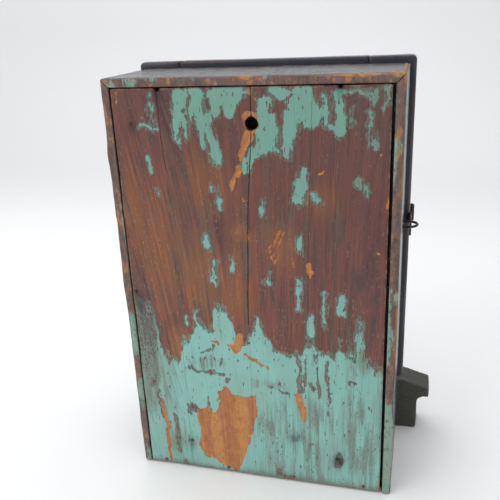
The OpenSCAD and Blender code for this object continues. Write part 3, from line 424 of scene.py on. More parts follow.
def dark_paint(name, along, tint=(0.016, 0.017, 0.022), chip=(0.30, 0.115, 0.035), green=0.0,
               wear=1.0):
    """Old dark paint on softwood, worn through along the edges."""
    net = Net(name, rough=0.4)
    fibre, bands = wood_layers(net, along)
    slow = net.noise(net.place(), 12, 4, 0.6)
    crumb = net.noise(net.place(GRAINS[along]), 330, 4, 0.7)
    base = net.mix(slow, tint, tuple(2.2 * c + 0.006 for c in tint))
    if green:
        base = net.over(base, net.step(crumb, 0.42, 0.66), green, (0.11, 0.15, 0.10))
    base, cracks, chips = old_coat(net, base, along)
    base = net.over(base, net.attr("rear"), 0.85, (0.010, 0.010, 0.022))
    worn = net.sum((net.attr("edge"), -0.45), (crumb, 4.2), (slow, 3.2), (bands, 1.5),
                   (1.0, -5.3 + wear))
    through = net.step(worn, 0.0, 0.5)
    brown = net.step(net.sum((worn, 1.0), (0.9, 1.0)), 0.0, 0.8)
    wood = net.ramp(bands, (0.35, tuple(0.55 * c for c in chip)), (0.6, chip))
    base = net.over(base, brown, 0.8, (0.060, 0.036, 0.030))
    base = net.mix(through, base, wood)
    net.colour(base)
    net.rough(net.step(net.sum((slow, 0.6), (fibre, 0.3), (through, 0.8), (chips, 0.4)),
                       0.2, 1.2, 0.27, 0.75))
    net.bump(net.sum((through, -0.5), (chips, -0.5), (cracks, -0.5), (fibre, 0.35), (bands, 0.3),
                     (crumb, 0.1)), 0.0006, 0.8)
    return net.mat


def frame_edge_paint():
    """The case's own boards: dark sides, back edges with maroon, teal remains and raw arrises."""
    net = Net("case_paint", rough=0.45)
    fibre, bands = wood_layers(net, "z")
    slow = net.noise(net.place((1, 1, 0.6)), 24, 4, 0.65)
    smear = net.noise(net.place((1, 1, 0.35)), 75, 5, 0.7, 0.4)
    crumb = net.noise(net.place((1, 1, 0.5)), 400, 4, 0.7)
    dark = net.mix(slow, (0.022, 0.022, 0.031), (0.056, 0.052, 0.064))
    dark, cracks, chips = old_coat(net, dark, "z")
    brown = net.ramp(net.sum((bands, 0.4), (slow, 0.3), (smear, 0.3)), (0.36, (0.050, 0.036, 0.035)),
                     (0.45, (0.125, 0.066, 0.054)), (0.52, (0.165, 0.086, 0.064)),
                     (0.58, (0.128, 0.100, 0.080)), (0.66, (0.088, 0.052, 0.042)))
    teal = net.step(net.sum((net.attr("teal"), 1.0), (smear, 5.0), (crumb, 4.0), (fibre, 2.0),
                            (1.0, -5.5)), -0.4, 0.4)
    blot = net.noise(net.place((1, 1, 0.55)), 120, 4, 0.65)
    brown = net.mix(net.step(blot, 0.53, 0.61, 0, 0.85), brown, (0.350, 0.155, 0.060))
    brown = net.mix(net.step(blot, 0.47, 0.38, 0, 0.8), brown, (0.070, 0.058, 0.052))
    back = net.over(brown, teal, 0.85, (0.205, 0.340, 0.270))
    back = net.mix(net.step(crumb, 0.55, 0.66, 0, 0.7), back, (0.040, 0.032, 0.030))
    base = net.mix(net.attr("back"), dark, back)
    worn = net.sum((net.attr("edge"), -0.75), (crumb, 3.0), (slow, 5.0), (smear, 5.0),
                   (net.attr("raw"), 1.6), (1.0, -6.5))
    through = net.step(worn, 0.0, 0.7)
    rubbed = net.step(worn, -1.3, 0.1)
    base = net.over(base, rubbed, 0.6, (0.120, 0.085, 0.062))
    raw = net.ramp(bands, (0.38, (0.22, 0.11, 0.045)), (0.60, (0.43, 0.21, 0.080)))
    base = net.over(base, through, 0.85, raw)
    base = unpainted_inside(net, base, fibre, bands,
                            (0.085, 0.044, 0.021), (0.165, 0.083, 0.036), (0.110, 0.055, 0.026))
    net.colour(base)
    net.rough(net.step(net.sum((slow, 0.7), (fibre, 0.3), (through, 0.8), (net.attr("back"), 0.5),
                               (chips, 0.4)), 0.2, 1.3, 0.13, 0.72))
    net.bump(net.sum((teal, 0.2), (through, -0.4), (chips, -0.4), (cracks, -0.4), (fibre, 0.4),
                     (bands, 0.3), (crumb, 0.2)), 0.0007, 0.85)
    return net.mat


def metal_look(name, base, patina, rough, rust=0.0, brush=(1, 1, 1)):
    """Bare metal with tarnish, fine scratches and some rust or patina in patches."""
    net = Net(name, rough=rough, metal=1.0)
    slow = net.noise(net.place(), 45, 5, 0.65)
    fine = net.noise(net.place(), 420, 4, 0.6)
    lines = net.noise(net.place(brush), 1500, 3, 0.6)
    colour = net.mix(slow, tuple(0.62 * c for c in base), base)
    dull = net.step(net.sum((slow, 0.55), (fine, 0.65)), 0.46, 0.84)
    colour = net.over(colour, dull, 0.72, patina)
    if rust:
        spots = net.step(net.sum((fine, 0.6), (slow, 0.7)), 0.80 - 0.2 * rust, 0.92 - 0.2 * rust)
        colour = net.mix(spots, colour, RUST)
        net.metal(net.calc("SUBTRACT", 1.0, spots, clamp=True))
    net.colour(colour)
    net.rough(net.step(net.sum((dull, 0.5), (fine, 0.5), (lines, 0.3)),
                       0.2, 1.0, rough * 0.75, min(0.85, rough * 1.9)))
    net.bump(net.sum((lines, 0.4), (fine, 0.5), (slow, 0.4)), 0.00012, 0.7)
    return net.mat


def black_iron():
    """Japanned or oxidised iron hardware, rubbed on its high spots, with rust blooms."""
    net = Net("black_iron", rough=0.45, metal=0.6)
    slow = net.noise(net.place(), 60, 5, 0.65)
    fine = net.noise(net.place(), 700, 4, 0.6)
    base = net.mix(slow, (0.010, 0.010, 0.012), (0.035, 0.033, 0.034))
    bloom = net.step(net.sum((slow, 0.8), (fine, 0.5)), 0.66, 0.86)
    base = net.over(base, bloom, 0.8, (0.085, 0.036, 0.018))
    net.colour(base)
    net.rough(net.step(net.sum((fine, 0.5), (bloom, 0.6)), 0.1, 1.0, 0.35, 0.8))
    net.bump(net.sum((fine, 0.5), (slow, 0.6), (bloom, 0.3)), 0.00025, 0.8)
    return net.mat


def plinth_paint():
    """Coarse grey-green paint over a sandy ground."""
    net = Net("plinth_paint", rough=0.65)
    slow = net.noise(net.place(), 18, 4, 0.6)
    grit = net.noise(net.place(), 520, 3, 0.6)
    pores = net.cells(net.place(), 620)
    fibre, bands = wood_layers(net, "x")
    base = net.mix(slow, (0.036, 0.038, 0.031), (0.066, 0.067, 0.054))
    base = net.mix(net.step(grit, 0.52, 0.66, 0, 0.8), base, (0.120, 0.122, 0.098))
    base = net.mix(net.step(pores, 0.0, 0.22, 0.6, 0.0), base, (0.010, 0.010, 0.009))
    worn = net.sum((net.attr("edge"), -0.6), (grit, 2.4), (slow, 3.0), (1.0, -2.3))
    base = net.mix(net.step(worn, 0.0, 0.8, 0, 0.55), base, (0.20, 0.19, 0.16))
    net.colour(base)
    net.rough(net.step(grit, 0.3, 0.7, 0.5, 0.85))
    net.bump(net.sum((grit, 1.0), (pores, 0.7), (bands, 0.3), (fibre, 0.2)), 0.0009, 0.8)
    return net.mat


def red_enamel():
    """Red enamel on cast iron, chipped down to primer and metal."""
    net = Net("red_enamel", rough=0.3, Coat_Weight=0.35, Coat_Roughness=0.2)
    slow = net.noise(net.place(), 35, 5, 0.6)
    fine = net.noise(net.place(), 380, 4, 0.65)
    base = net.mix(slow, (0.26, 0.012, 0.008), (0.42, 0.026, 0.014))
    chip = net.step(net.sum((slow, 0.7), (fine, 0.6)), 0.80, 0.83)
    rim = net.step(net.sum((slow, 0.7), (fine, 0.6)), 0.77, 0.80)
    base = net.over(base, rim, 0.7, (0.10, 0.012, 0.008))
    base = net.mix(chip, base, (0.035, 0.028, 0.026))
    net.colour(base)
    net.metal(net.calc("MULTIPLY", chip, 0.5))
    net.rough(net.step(net.sum((fine, 0.5), (chip, 0.8)), 0.2, 1.2, 0.26, 0.7))
    net.bump(net.sum((chip, -0.6), (fine, 0.25), (slow, 0.3)), 0.0003, 0.7)
    return net.mat


def old_glass():
    """Slightly wavy window glass with a film of dust."""
    net = Net("old_glass", rough=0.06, IOR=1.5, Transmission_Weight=1.0)
    wave = net.noise(net.place(), 22, 2, 0.5)
    dust = net.noise(net.place(), 130, 5, 0.7)
    net.colour(net.mix(dust, (0.90, 0.95, 0.93), (0.80, 0.85, 0.82)))
    net.rough(net.step(dust, 0.45, 0.75, 0.03, 0.22))
    net.bump(net.sum((wave, 1.0), (dust, 0.05)), 0.0006, 0.35)
    return net.mat


def smooth_look(name, low, high, rough, grain, depth, coat=0.0):
    """Moulded rubber or honed slate: two close tones, fine grain and dust."""
    net = Net(name, rough=rough, Coat_Weight=coat)
    slow = net.noise(net.place(), 30, 5, 0.6)
    fine = net.noise(net.place(), grain, 4, 0.6)
    base = net.mix(slow, low, high)
    dust = net.step(net.sum((slow, 0.6), (fine, 0.6)), 0.62, 0.95)
    net.colour(net.over(base, dust, 0.35, (0.16, 0.15, 0.13)))
    net.rough(net.step(fine, 0.3, 0.7, rough * 0.8, min(0.9, rough * 1.4)))
    net.bump(net.sum((fine, 0.8), (slow, 0.4)), depth, 0.7)
    return net.mat


def cloth_look():
    """Waxed green cotton wound round wire: fine turns across the wire and a fuzzy tone."""
    net = Net("waxed_cotton", rough=0.7, Sheen_Weight=0.3)
    weave = net.cells(net.place((1, 1, 1.8)), 1500)
    slow = net.noise(net.place(), 60, 4, 0.6)
    turns = net.noise(net.place((0.2, 0.2, 1)), 2600, 2, 0.5)
    base = net.mix(slow, (0.020, 0.062, 0.034), (0.045, 0.110, 0.058))
    gaps = net.step(net.sum((weave, 0.5), (turns, 0.6)), 0.3, 0.7)
    net.colour(net.mix(gaps, base, (0.012, 0.032, 0.018)))
    net.rough(net.step(turns, 0.3, 0.7, 0.55, 0.85))
    net.bump(net.sum((weave, 0.7), (turns, 0.8)), 0.0003, 0.8)
    return net.mat


# ---- fields on the boards ----

INSIDE_MM = 0.02  # how far worn copies stay inside the CAD's own box


def lattice(points, seed):
    """Smooth value noise in 0..1 at points, one cell per unit."""
    cell = np.floor(points).astype(np.int64)
    part = points - cell
    part = part * part * (3 - 2 * part)
    total = np.zeros(len(points))
    for corner in range(8):
        bits = np.array([corner & 1, corner >> 1 & 1, corner >> 2 & 1])
        c = cell + bits
        h = c[:, 0] * 73856093 ^ c[:, 1] * 19349663 ^ c[:, 2] * 83492791 ^ (seed * 2654435761)
        h &= 0xFFFFFFFF
        h = (h ^ h >> 13) * 1274126177 & 0xFFFFFFFF
        h = ((h ^ h >> 16) & 0xFFFF) / 65535.0
        share = np.prod(np.where(bits, part, 1 - part), axis=1)
        total += share * h
    return total


def layers(points, size, seed, octaves=3, stretch=(1, 1, 1)):
    """Fractal noise in about -1..1. Size is the largest cell in millimetres."""
    p = points / (size * np.array(stretch))
    total, weight = np.zeros(len(points)), 1.0
    for i in range(octaves):
        total += weight * (2 * lattice(p * 2**i + 17.3 * i, seed + i) - 1)
        weight *= 0.55
    return total


def stroke(x, z, x0, z0, x1, z1, r0, r1=None):
    """Signed field of a tapered stroke, positive inside, in millimetres from its edge."""
    r1 = r0 if r1 is None else r1
    dx, dz = x1 - x0, z1 - z0
    t = unit(((x - x0) * dx + (z - z0) * dz) / (dx * dx + dz * dz + 1e-9))
    return r0 + (r1 - r0) * t - np.hypot(x - x0 - t * dx, z - z0 - t * dz)


def inside(x, z, corners):
    """Signed distance to a closed outline, positive inside."""
    pts = np.array(corners, float)
    far, odd = np.full(len(x), 1e9), np.zeros(len(x), bool)
    for (ax, az), (bx, bz) in zip(pts, np.roll(pts, -1, axis=0)):
        far = np.minimum(far, -stroke(x, z, ax, az, bx, bz, 0.0))
        cross = (az > z) != (bz > z)
        with np.errstate(divide="ignore", invalid="ignore"):
            odd ^= cross & (x < (bx - ax) * (z - az) / (bz - az) + ax)
    return np.where(odd, far, -far)


def verts_mm(mesh):
    flat = np.zeros(len(mesh.vertices) * 3, np.float32)
    mesh.vertices.foreach_get("co", flat)
    return flat.reshape(-1, 3).astype(float) / MM


def set_verts_mm(mesh, co):
    mesh.vertices.foreach_set("co", (co * MM).astype(np.float32).ravel())
    mesh.update()


def set_fields(piece, **fields):
    """Writes one number per vertex for each field, for Net.attr to read."""
    for name, values in fields.items():
        made = piece.data.attributes.new(name, "FLOAT", "POINT")
        made.data.foreach_set("value", np.asarray(values, np.float32))


def unit(values):
    return np.clip(values, 0, 1)


def flattened(x, z):
    """Points on the plane y = 0, so that what is read there runs straight through a board."""
    return np.stack([x, np.zeros_like(x), z], axis=1)


def edge_distance(co, low, high):
    """Distance along the surface to the nearest edge of the box low..high."""
    gaps = np.sort(np.minimum(co - low, high - co), axis=1)
    return np.maximum(gaps[:, 1], 0)


def solid_copy(name, nodes, body, voxel_mm, cutters=(), smooth=0):
    """One even-meshed copy of some CAD nodes, with rounded edges, that stands for them."""
    bm = bmesh.new()
    for n in nodes:
        bm.from_mesh(NODES[n].data)
    piece = add_mesh(name, bm)
    for cutter in cutters:
        cut = piece.modifiers.new("cut", "BOOLEAN")
        cut.operation, cut.object, cut.solver = "DIFFERENCE", cutter, "EXACT"
    even = piece.modifiers.new("even", "REMESH")
    even.mode, even.voxel_size, even.use_smooth_shade = "VOXEL", voxel_mm * MM, True
    if smooth:
        ease = piece.modifiers.new("ease", "SMOOTH")
        ease.factor, ease.iterations = 0.5, smooth
    ready = piece.evaluated_get(bpy.context.evaluated_depsgraph_get())
    piece.data = bpy.data.meshes.new_from_object(ready)
    piece.data.name = name
    piece.modifiers.clear()
    for cutter in cutters:
        bpy.data.objects.remove(cutter)
    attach(piece, body)
    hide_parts(*nodes)
    return piece


def dress(piece, material):
    piece.data.materials.clear()
    piece.data.materials.append(material)


def box_of(nodes):
    ends = [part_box(n) for n in nodes]
    low = np.min([tuple(e[0]) for e in ends], axis=0) / MM
    high = np.max([tuple(e[1]) for e in ends], axis=0) / MM
    return low, high


def wear_in(co, low, high, seed, amount):
    """Pulls the arrises of a box-shaped piece in by up to amount, unevenly."""
    middle = (low + high) / 2
    edge = edge_distance(co, low, high)
    bite = np.clip(layers(co, 38, seed, 4, (1, 1, 1.6)) * 0.9 + 0.5, 0, 1.6)
    pull = amount * bite * np.exp(-edge / 2.2)
    side = co - middle
    reach = (high - low) / 2
    near = unit(1 - (reach - np.abs(side)) / 4.0)
    return np.clip(co - np.sign(side) * near * pull[:, None], low + INSIDE_MM, high - INSIDE_MM), edge


# ---- the back board ----

# Strokes on the back board, as x, z, x, z, start half-width, end half-width
TEAL_STROKES = [
    (95, 447, 97, 420, 3, 1.5), (64, 448, 73, 402, 5, 2.5), (63, 428, 61, 402, 3.5, 2),
    (49, 449, 47, 396, 6.5, 2.5), (40, 427, 32, 382, 3.5, 6), (27, 450, 28, 430, 6, 4.5),
    (33, 449, -4, 450, 3, 3), (11, 450, 16, 427, 6.5, 3.5), (-18, 438, -16, 402, 6, 8),
    (-27, 421, -26, 396, 4, 5), (-14, 396, 2, 378, 8, 4), (-27, 449, -62, 446, 4, 5),
    (-50, 436, -62, 420, 8, 7), (-44, 424, -40, 385, 8, 4), (-60, 445, -66, 420, 7, 6),
    (-74, 443, -77, 420, 4, 4), (-88, 446, -91, 412, 4.5, 4.5), (-79, 417, -90, 411, 4, 4),
    (-95, 448, -117, 447, 3, 2.5), (-123, 450, -123, 437, 3, 2), (-132, 451, -131, 432, 3, 2),
    (-103, 427, -104, 414, 2.5, 1.5), (-120, 428, -121, 399, 2, 2), (-57, 373, -52, 344, 3.5, 6),
    (-65, 349, -69, 341, 3.5, 2.5), (-110, 365, -118, 357, 3.5, 4), (31, 341, 30, 332, 3, 2),
    (36, 352, 35, 350, 2, 2), (-12, 336, -12, 333, 3, 2.5), (46, 298, 44, 287, 3.5, 2),
    (43, 276, 44, 254, 3, 3.5), (-50, 304, -50, 290, 2, 3), (-48, 262, -47, 224, 2.2, 3.6),
    (-16, 260, -15, 250, 1.8, 2), (-59, 212, -59, 193, 4, 4), (-93, 243, -93, 224, 2.5, 3.2),
    (22, 274, 21, 264, 1.5, 1.5), (108, 382, 104, 368, 1.2, 1.0), (93, 415, 110, 414, 1.5, 2),
    (-2, 210, -8, 178, 2.5, 8), (-76, 245, -75, 205, 1.5, 1.5), (-112, 215, -113, 185, 1.8, 2.2),
    (79, 205, 78, 196, 2, 2), (66, 210, 66, 196, 1.5, 2), (98, 350, 97, 344, 1.4, 1.2),
]
# Where the teal field ends at its ragged top, as x, z
TEAL_TOP = [
    (-140, 156), (-131, 158), (-116, 172), (-112, 184), (-108, 174), (-98, 176), (-93, 189), (-89, 172),
    (-80, 168), (-72, 172), (-65, 182), (-60, 186), (-53, 180), (-50, 169), (-38, 167), (-22, 169),
    (-12, 176), (-3, 205), (2, 188), (8, 180), (21, 177), (23, 203), (32, 214), (45, 212), (49, 188),
    (61, 192), (70, 193), (75, 180), (88, 172), (92, 150), (102, 148), (113, 160), (116, 205),
    (131, 226), (140, 232),
]
# Rubbed through to maroon inside the teal field
MAROON_STROKES = [
    (80, 140, 62, 139, 2.4, 2), (62, 139, 38, 136, 1.4, 2.6), (-46, 169, -49, 126, 1.5, 1.3),
    (-55, 168, -53, 124, 1.2, 1), (-66, 172, -68, 118, 1.3, 1), (-77, 162, -80, 94, 1.8, 0.9),
    (104, 72, 100, 24, 1.6, 1.4), (120, 104, 118, 70, 1.8, 1.2), (86, 92, 84, 82, 2.5, 2),
    (80, 88, 72, 84, 3, 2.5), (52, 172, 50, 160, 1.1, 0.9), (56, 163, 64, 165, 1.4, 1.2),
    (-60, 138, -62, 128, 3.2, 2.2), (-14, 128, -36, 121, 0.9, 1.1), (-102, 142, -108, 140, 1.6, 1.2),
    (95, 9, 90, 4, 3, 4), (-22, 10, -38, 3, 2.5, 3.5), (-92, 46, -91, 34, 3.0, 3.5),
    (126, 118, 129, 112, 3, 2.6), (35, 125, 33, 130, 2.2, 2), (60, 100, 60, 80, 1.0, 1.0),
    (40, 158, 42, 146, 0.8, 0.7),
]
# Down to raw pine
BARE_STROKES = [
    (17, 186, 22, 170, 4, 6), (30, 176, 22, 170, 3, 4), (12, 163, -14, 152, 2.2, 1.2),
    (57, 182, 45, 176, 1.2, 2.4), (-47, 120, -53, 92, 4.2, 3), (116, 92, 113, 4, 2.2, 2.6),
    (-4, 408, 6, 386, 5.0, 2.4), (9, 376, 19, 355, 3.8, 3.0), (-58, 275, -62, 263, 3.0, 3.4),
    (-41, 280, -43, 272, 1.6, 1.8), (2, 300, 6, 309, 1.2, 1.8), (12, 196, 13, 186, 1.4, 1.2),
    (-70, 372, -76, 372, 1.2, 1.4), (-130, 292, -130, 293, 1.7, 1.7), (-128, 389, -128, 390, 1.2, 1.2),
    (-137, 345, -137, 333, 1.6, 1.4), (14, 345, -8, 340, 0.7, 0.5), (132, 447, 134, 440, 1.5, 1.2),
    (-2, 452, -9, 440, 1.6, 1.0),
]
# Slanting scratches down to pine beside the middle
SCRATCHES = [
    (-31, 310, -17, 280, 0.7, 1.4), (-35, 309, -22, 280, 0.5, 1.0), (-28, 306, -20, 292, 0.6, 0.9),
    (-16, 288, -26, 274, 0.9, 1.5), (-33, 290, -24, 275, 0.8, 1.6), (-38, 300, -34, 288, 0.4, 0.6),
    (-15, 282, -13, 272, 0.4, 0.6),
]
# The large flake of raw pine near the bottom
BARE_PATCH = [
    (74, 86), (60, 89), (53, 85), (49, 98), (48, 112), (36, 118), (26, 112), (14, 110), (2, 110),
    (1, 92), (7, 70), (10, 50), (22, 22), (27, 8), (42, 9), (56, 16), (67, 18), (74, 36),
]
# Stains, dirt and warm tones, as x, z, half-width, half-height
DARK_SPOTS = [
    (-112, 258, 9, 11), (-123, 238, 8, 7), (-129, 216, 7, 9), (131, 228, 7, 6), (84, 330, 4, 16),
    (132, 214, 4, 14), (40, 342, 3, 5), (-92, 40, 8, 9), (-40, 60, 7, 7),
]
GRIME_SPOTS = [
    (-45, 40, 45, 45), (-20, 75, 22, 30), (118, 110, 25, 50), (60, 150, 25, 10), (-118, 70, 30, 80),
    (100, 200, 25, 30), (-122, 165, 22, 20), (-70, 90, 30, 30), (-10, 130, 20, 8), (100, 40, 20, 30),
]
WARM_SPOTS = [
    (100, 290, 28, 90), (60, 260, 22, 60), (20, 240, 22, 50), (85, 170, 22, 24), (-30, 290, 24, 30),
    (125, 330, 14, 60), (10, 305, 18, 10), (-70, 345, 22, 22), (40, 360, 30, 40),
]
# The torn hole near the top: its middle, and how its rim is cut into the back face
HOLE_X, HOLE_Z = -5.6, 418.0
RIM_POINTS, RIM_RADIUS, RIM_TEAR, RIM_DEPTH = 30, 6.5, 2.3, 2.2
NAIL_DEPTH, CUTTER_PROUD = 6, 5
PAINT_END, SEAM_END = 4, 6  # where the paint's and the cracks' fields stop
BARE_DEPTH, CHIP_DEPTH, TORN_DEPTH, WARP_DEPTH = 0.45, 0.12, 0.9, 0.35
# Nail and screw holes in the back face, as x, z, radius
NAIL_HOLES = [
    (135.1, 232.0, 1.5), (88.9, 451.6, 2.2), (-91.3, 451.6, 2.0), (120, 418, 1.0), (83.7, 40, 1.5),
    (-90.3, 40, 1.5),
]
# Where the wood is torn out below the paint
TORN_STROKES = [
    (-4, 409, 7, 384, 3.4, 0.6), (-30, 308, -18, 282, 0.5, 1.4), (11, 373, 20, 354, 1.9, 0.8),
    (-6, 428, -7, 434, 1.6, 0.6), (-3, 410, -9, 404, 2.2, 1.0),
]
# Drying cracks: the x of each at some heights, from the bottom up
SEAMS = {
    "split": [(200, 7), (240, 6), (300, 3), (372, -2), (418, -5.5), (463, -6.3)],
    "seam_left": [(372, 86), (400, 88), (463, 89)],
    "seam_right": [(190, -58), (300, -60), (380, -63), (463, -66)],
}


def spots(x, z, rows):
    return np.max([np.exp(-(((x - a) / w) ** 2 + ((z - b) / h) ** 2)) for a, b, w, h in rows], axis=0)


def strokes(x, z, rows):
    return np.max([stroke(x, z, *row) for row in rows], axis=0)


def prism(name, outline, y0, y1):
    """A cutter: an x-z outline in millimetres run from y0 to y1."""
    bm = bmesh.new()
    rings = [[bm.verts.new((x * MM, y * MM, z * MM)) for x, z in outline] for y in (y0, y1)]
    bm.faces.new(rings[0])
    bm.faces.new(list(reversed(rings[1])))
    for i in range(len(outline)):
        j = (i + 1) % len(outline)
        bm.faces.new((rings[0][j], rings[0][i], rings[1][i], rings[1][j]))
    bmesh.ops.recalc_face_normals(bm, faces=bm.faces)
    cutter = add_mesh(name, bm)
    cutter.hide_render = True
    return cutter


def make_back_board():
    low, high = box_of(["back_board"])
    back_y = high[1]
    rng = np.random.default_rng(7)
    rim = []
    for i in range(RIM_POINTS):
        angle, reach = 2 * math.pi * i / RIM_POINTS, RIM_RADIUS + RIM_TEAR * rng.random() ** 2
        rim.append((HOLE_X + reach * math.cos(angle) * 0.95, HOLE_Z + reach * math.sin(angle)))
    cutters = [prism("cut_rim", rim, back_y - RIM_DEPTH, back_y + CUTTER_PROUD)]
    for x, z, r in NAIL_HOLES:
        turns = [t * math.pi / 5 for t in range(10)]
        ring = [(x + r * math.cos(t), z + r * math.sin(t)) for t in turns]
        cutters.append(prism("cut_nail", ring, back_y - NAIL_DEPTH, back_y + CUTTER_PROUD))
    piece = solid_copy("back_board_worn", ["back_board"], "case", 1.3, cutters)
    co, edge = wear_in(verts_mm(piece.data), low, high, seed=3, amount=0.9)
    x, y, z = co.T
    flat = flattened(x, z)
    crumble = layers(flat, 4.5, 21, 2, (1, 1, 1.7)) + 0.5 * layers(flat, 11, 22, 2, (1, 1, 1.5))
    streak = layers(flat, 4, 31, 3, (1, 1, 9))
    # strokes are looked up at shifted points, so that no outline stays smooth
    sx = x + 2.2 * layers(flat, 15, 51, 3, (1, 1, 2)) + 1.3 * layers(flat, 4.5, 52, 2, (1, 1, 1.6))
    sz = z + 3.5 * layers(flat, 13, 53, 3, (1, 1, 1.4)) + 2.2 * layers(flat, 5, 54, 2)
    low_field = (np.interp(sx, *zip(*TEAL_TOP)) - sz) / 2.6
    teal = np.maximum(low_field, strokes(sx, sz, TEAL_STROKES)) + 1.5 * crumble + 1.7 * streak
    rubbed = strokes(sx, sz, MAROON_STROKES) + 0.9 * crumble + 0.6 * streak
    bare = np.maximum(inside(sx, sz, BARE_PATCH) / 1.1, strokes(sx, sz, BARE_STROKES))
    bare = np.maximum(bare, strokes(x, z, SCRATCHES))
    reach = np.hypot((x - HOLE_X) * 1.05, (z - HOLE_Z - 1.5) * 0.85)
    bare = np.maximum(bare, 9.6 + 1.6 * layers(flat, 6, 41, 3) - reach) + 0.9 * crumble
    teal = np.minimum(teal, -rubbed)
    # the coat is thin and scrubbed down the hinge side and along the top
    thin = unit((sx - 112) / 8) * unit((z - 60) / 120)
    thin = np.maximum(thin, 0.7 * unit((-95 - sx) / 10) * unit((z - 185) / 20))
    teal = np.where(teal > 0, np.minimum(teal, 3.4 - 3.4 * thin), np.maximum(teal, -PAINT_END))
    # paint is a little proud of the wood, and torn wood a little below it
    sunk = unit(bare) * BARE_DEPTH + unit(-teal) * CHIP_DEPTH
    torn = np.maximum(strokes(sx, sz, TORN_STROKES), 0)
    warp = WARP_DEPTH * (1 - np.cos((x + 6) / 139 * math.pi)) * 0.5
    splits = {}
    for name, line in SEAMS.items():
        away = x - np.interp(z, *zip(*line)) - 0.6 * layers(flat, 22, 71, 2, (1, 1, 3))
        splits[name] = np.where(z > line[0][0], away, np.copysign(SEAM_END, away))
    open_split = unit(1.3 - np.abs(splits["split"]))
    rear = y > back_y - 1.6
    depth = sunk + np.minimum(torn, 1.6) * TORN_DEPTH + warp + 0.07 * (streak + 1) + open_split * 0.9
    co[:, 1] -= np.where(rear, depth, 0)
    set_verts_mm(piece.data, co)
    # the grain leans on the hinge side, where the plank was sawn near the tree's middle
    up = z - 230
    lean = unit((x + 20) / 110) * (0.14 * up + 0.0002 * up * np.abs(up))
    grime = spots(sx, sz, GRIME_SPOTS) * (0.7 + 0.6 * streak)
    grime += 1.6 * np.exp(-np.maximum(z - low[2], 0) / 5)
    # pits are near black: nails and the stain below each are real marks, while the walls of the hole,
    # and of the cuts from 2.5 mm below the back face, get near-black painted shade
    nails = np.max([unit(1.5 - np.hypot(x - a, z - b) / (r + 0.6)) for a, b, r in NAIL_HOLES],
                   axis=0)
    stain = 0.45 * spots(x, z, [(a, b - 3, 5, 8) for a, b, _ in NAIL_HOLES])
    hole_wall_shade = unit((8.3 - np.hypot(x - HOLE_X, z - HOLE_Z)) / 1.2)
    hole_wall_shade *= unit((back_y - 1.2 - y) / 1.2)
    # painted shade on every wall from 2.5 mm below the back face, short of the inner face
    side = unit((back_y - 2.5 - y) / 1.5) * 0.9 * (y > low[1] + 1.2)
    set_fields(
        piece, edge=edge, teal=np.clip(teal, -PAINT_END, PAINT_END),
        bare=np.clip(bare - 0.4, -PAINT_END, PAINT_END),
        grain=x - lean + 0.02 * z + 1.5 * layers(flat, 60, 61, 2, (1, 1, 2)),
        height=unit((z - 150 - 0.6 * x) / 250), grime=np.clip(grime + 0.9 * thin, 0, 2),
        dark=np.clip(spots(sx, sz, DARK_SPOTS) * (0.6 + 0.5 * crumble), 0, 0.62),
        warm=spots(sx, sz, WARM_SPOTS), pit=unit(np.max([nails, stain, hole_wall_shade, side], axis=0)),
        inner=unit((low[1] + 1.0 - y) / 0.8),
        **{name: np.clip(away, -SEAM_END, SEAM_END) for name, away in splits.items()})
    dress(piece, back_paint())


# ---- the other boards ----


def make_board(name, node, body, material, voxel, seed, wear):
    """A worn copy of one board with an edge field for its paint: (piece, vertices)."""
    low, high = box_of([node])
    piece = solid_copy(name, [node], body, voxel)
    co, edge = wear_in(verts_mm(piece.data), low, high, seed, wear)
    set_verts_mm(piece.data, co)
    set_fields(piece, edge=edge)
    if body == "door":
        set_fields(piece, rear=unit((co[:, 1] - high[1] + 1.2) / 0.8))
    dress(piece, material)
    return piece, co


def make_case(case_paint, inner_paint):
    back_y = cad_high.y / MM
    for seed, n in enumerate(("side_board_left", "side_board_right", "top_board"), 11):
        low, high = box_of([n])
        piece, co = make_board(n + "_worn", n, "case", case_paint, 1.5, seed, 1.5)
        x, y, z = co.T
        flat = flattened(x, z)
        keep = layers(flat, 24, seed + 40, 4, (1, 1, 2.0)) * 2.6 - 1.3
        raw = layers(flat, 26, seed + 60, 3, (1, 1, 2)) * 1.3
        if n == "side_board_left":
            gap_side = unit((x - low[0] - 6) / 5)
            keep += 2.3 * gap_side + np.interp(z, (0, 120, 210, 300, 460), (1.6, 1.3, 0.3, -0.4, -0.2))
            raw += np.interp(z, (0, 150, 260, 400, 440, 463), (-0.4, -0.2, 0.5, 0.4, 1.0, 2.2))
            raw -= 0.6 * gap_side
            inner = unit((x - high[0] + 1.0) / 0.8)
        elif n == "side_board_right":
            gap_side = unit((high[0] - 6 - x) / 5)
            keep += 1.5 * gap_side * np.interp(z, (0, 150, 330, 420), (0.2, 0.2, 1.6, 1.3))
            keep += np.interp(z, (0, 60, 170, 260, 440, 463), (0.4, 0.6, 0.2, -0.6, -0.1, 0.9))
            raw -= 0.6
            inner = unit((low[0] + 1.0 - x) / 0.8)
        else:
            keep += np.interp(x, (-150, 20, 50, 70, 110, 150), (-1.0, -1.2, 0.3, -1.0, 0.2, 1.2))
            raw += np.interp(x, (-150, -130, -20, 40, 150), (2.0, 0.8, 0.3, -0.4, -0.6))
            inner = unit((low[2] + 1.0 - z) / 0.8)
        set_fields(piece, back=unit((y - back_y + 1.2) / 0.8), teal=keep, raw=raw,
                   inner=inner * (y < back_y - 14))
    make_board("bottom_board_worn", "bottom_board", "case", inner_paint, 2.5, 15, 0.5)
    make_board("apron_worn", "apron_board", "case", dark_paint("apron_paint", "x"), 2.0, 16, 1.0)


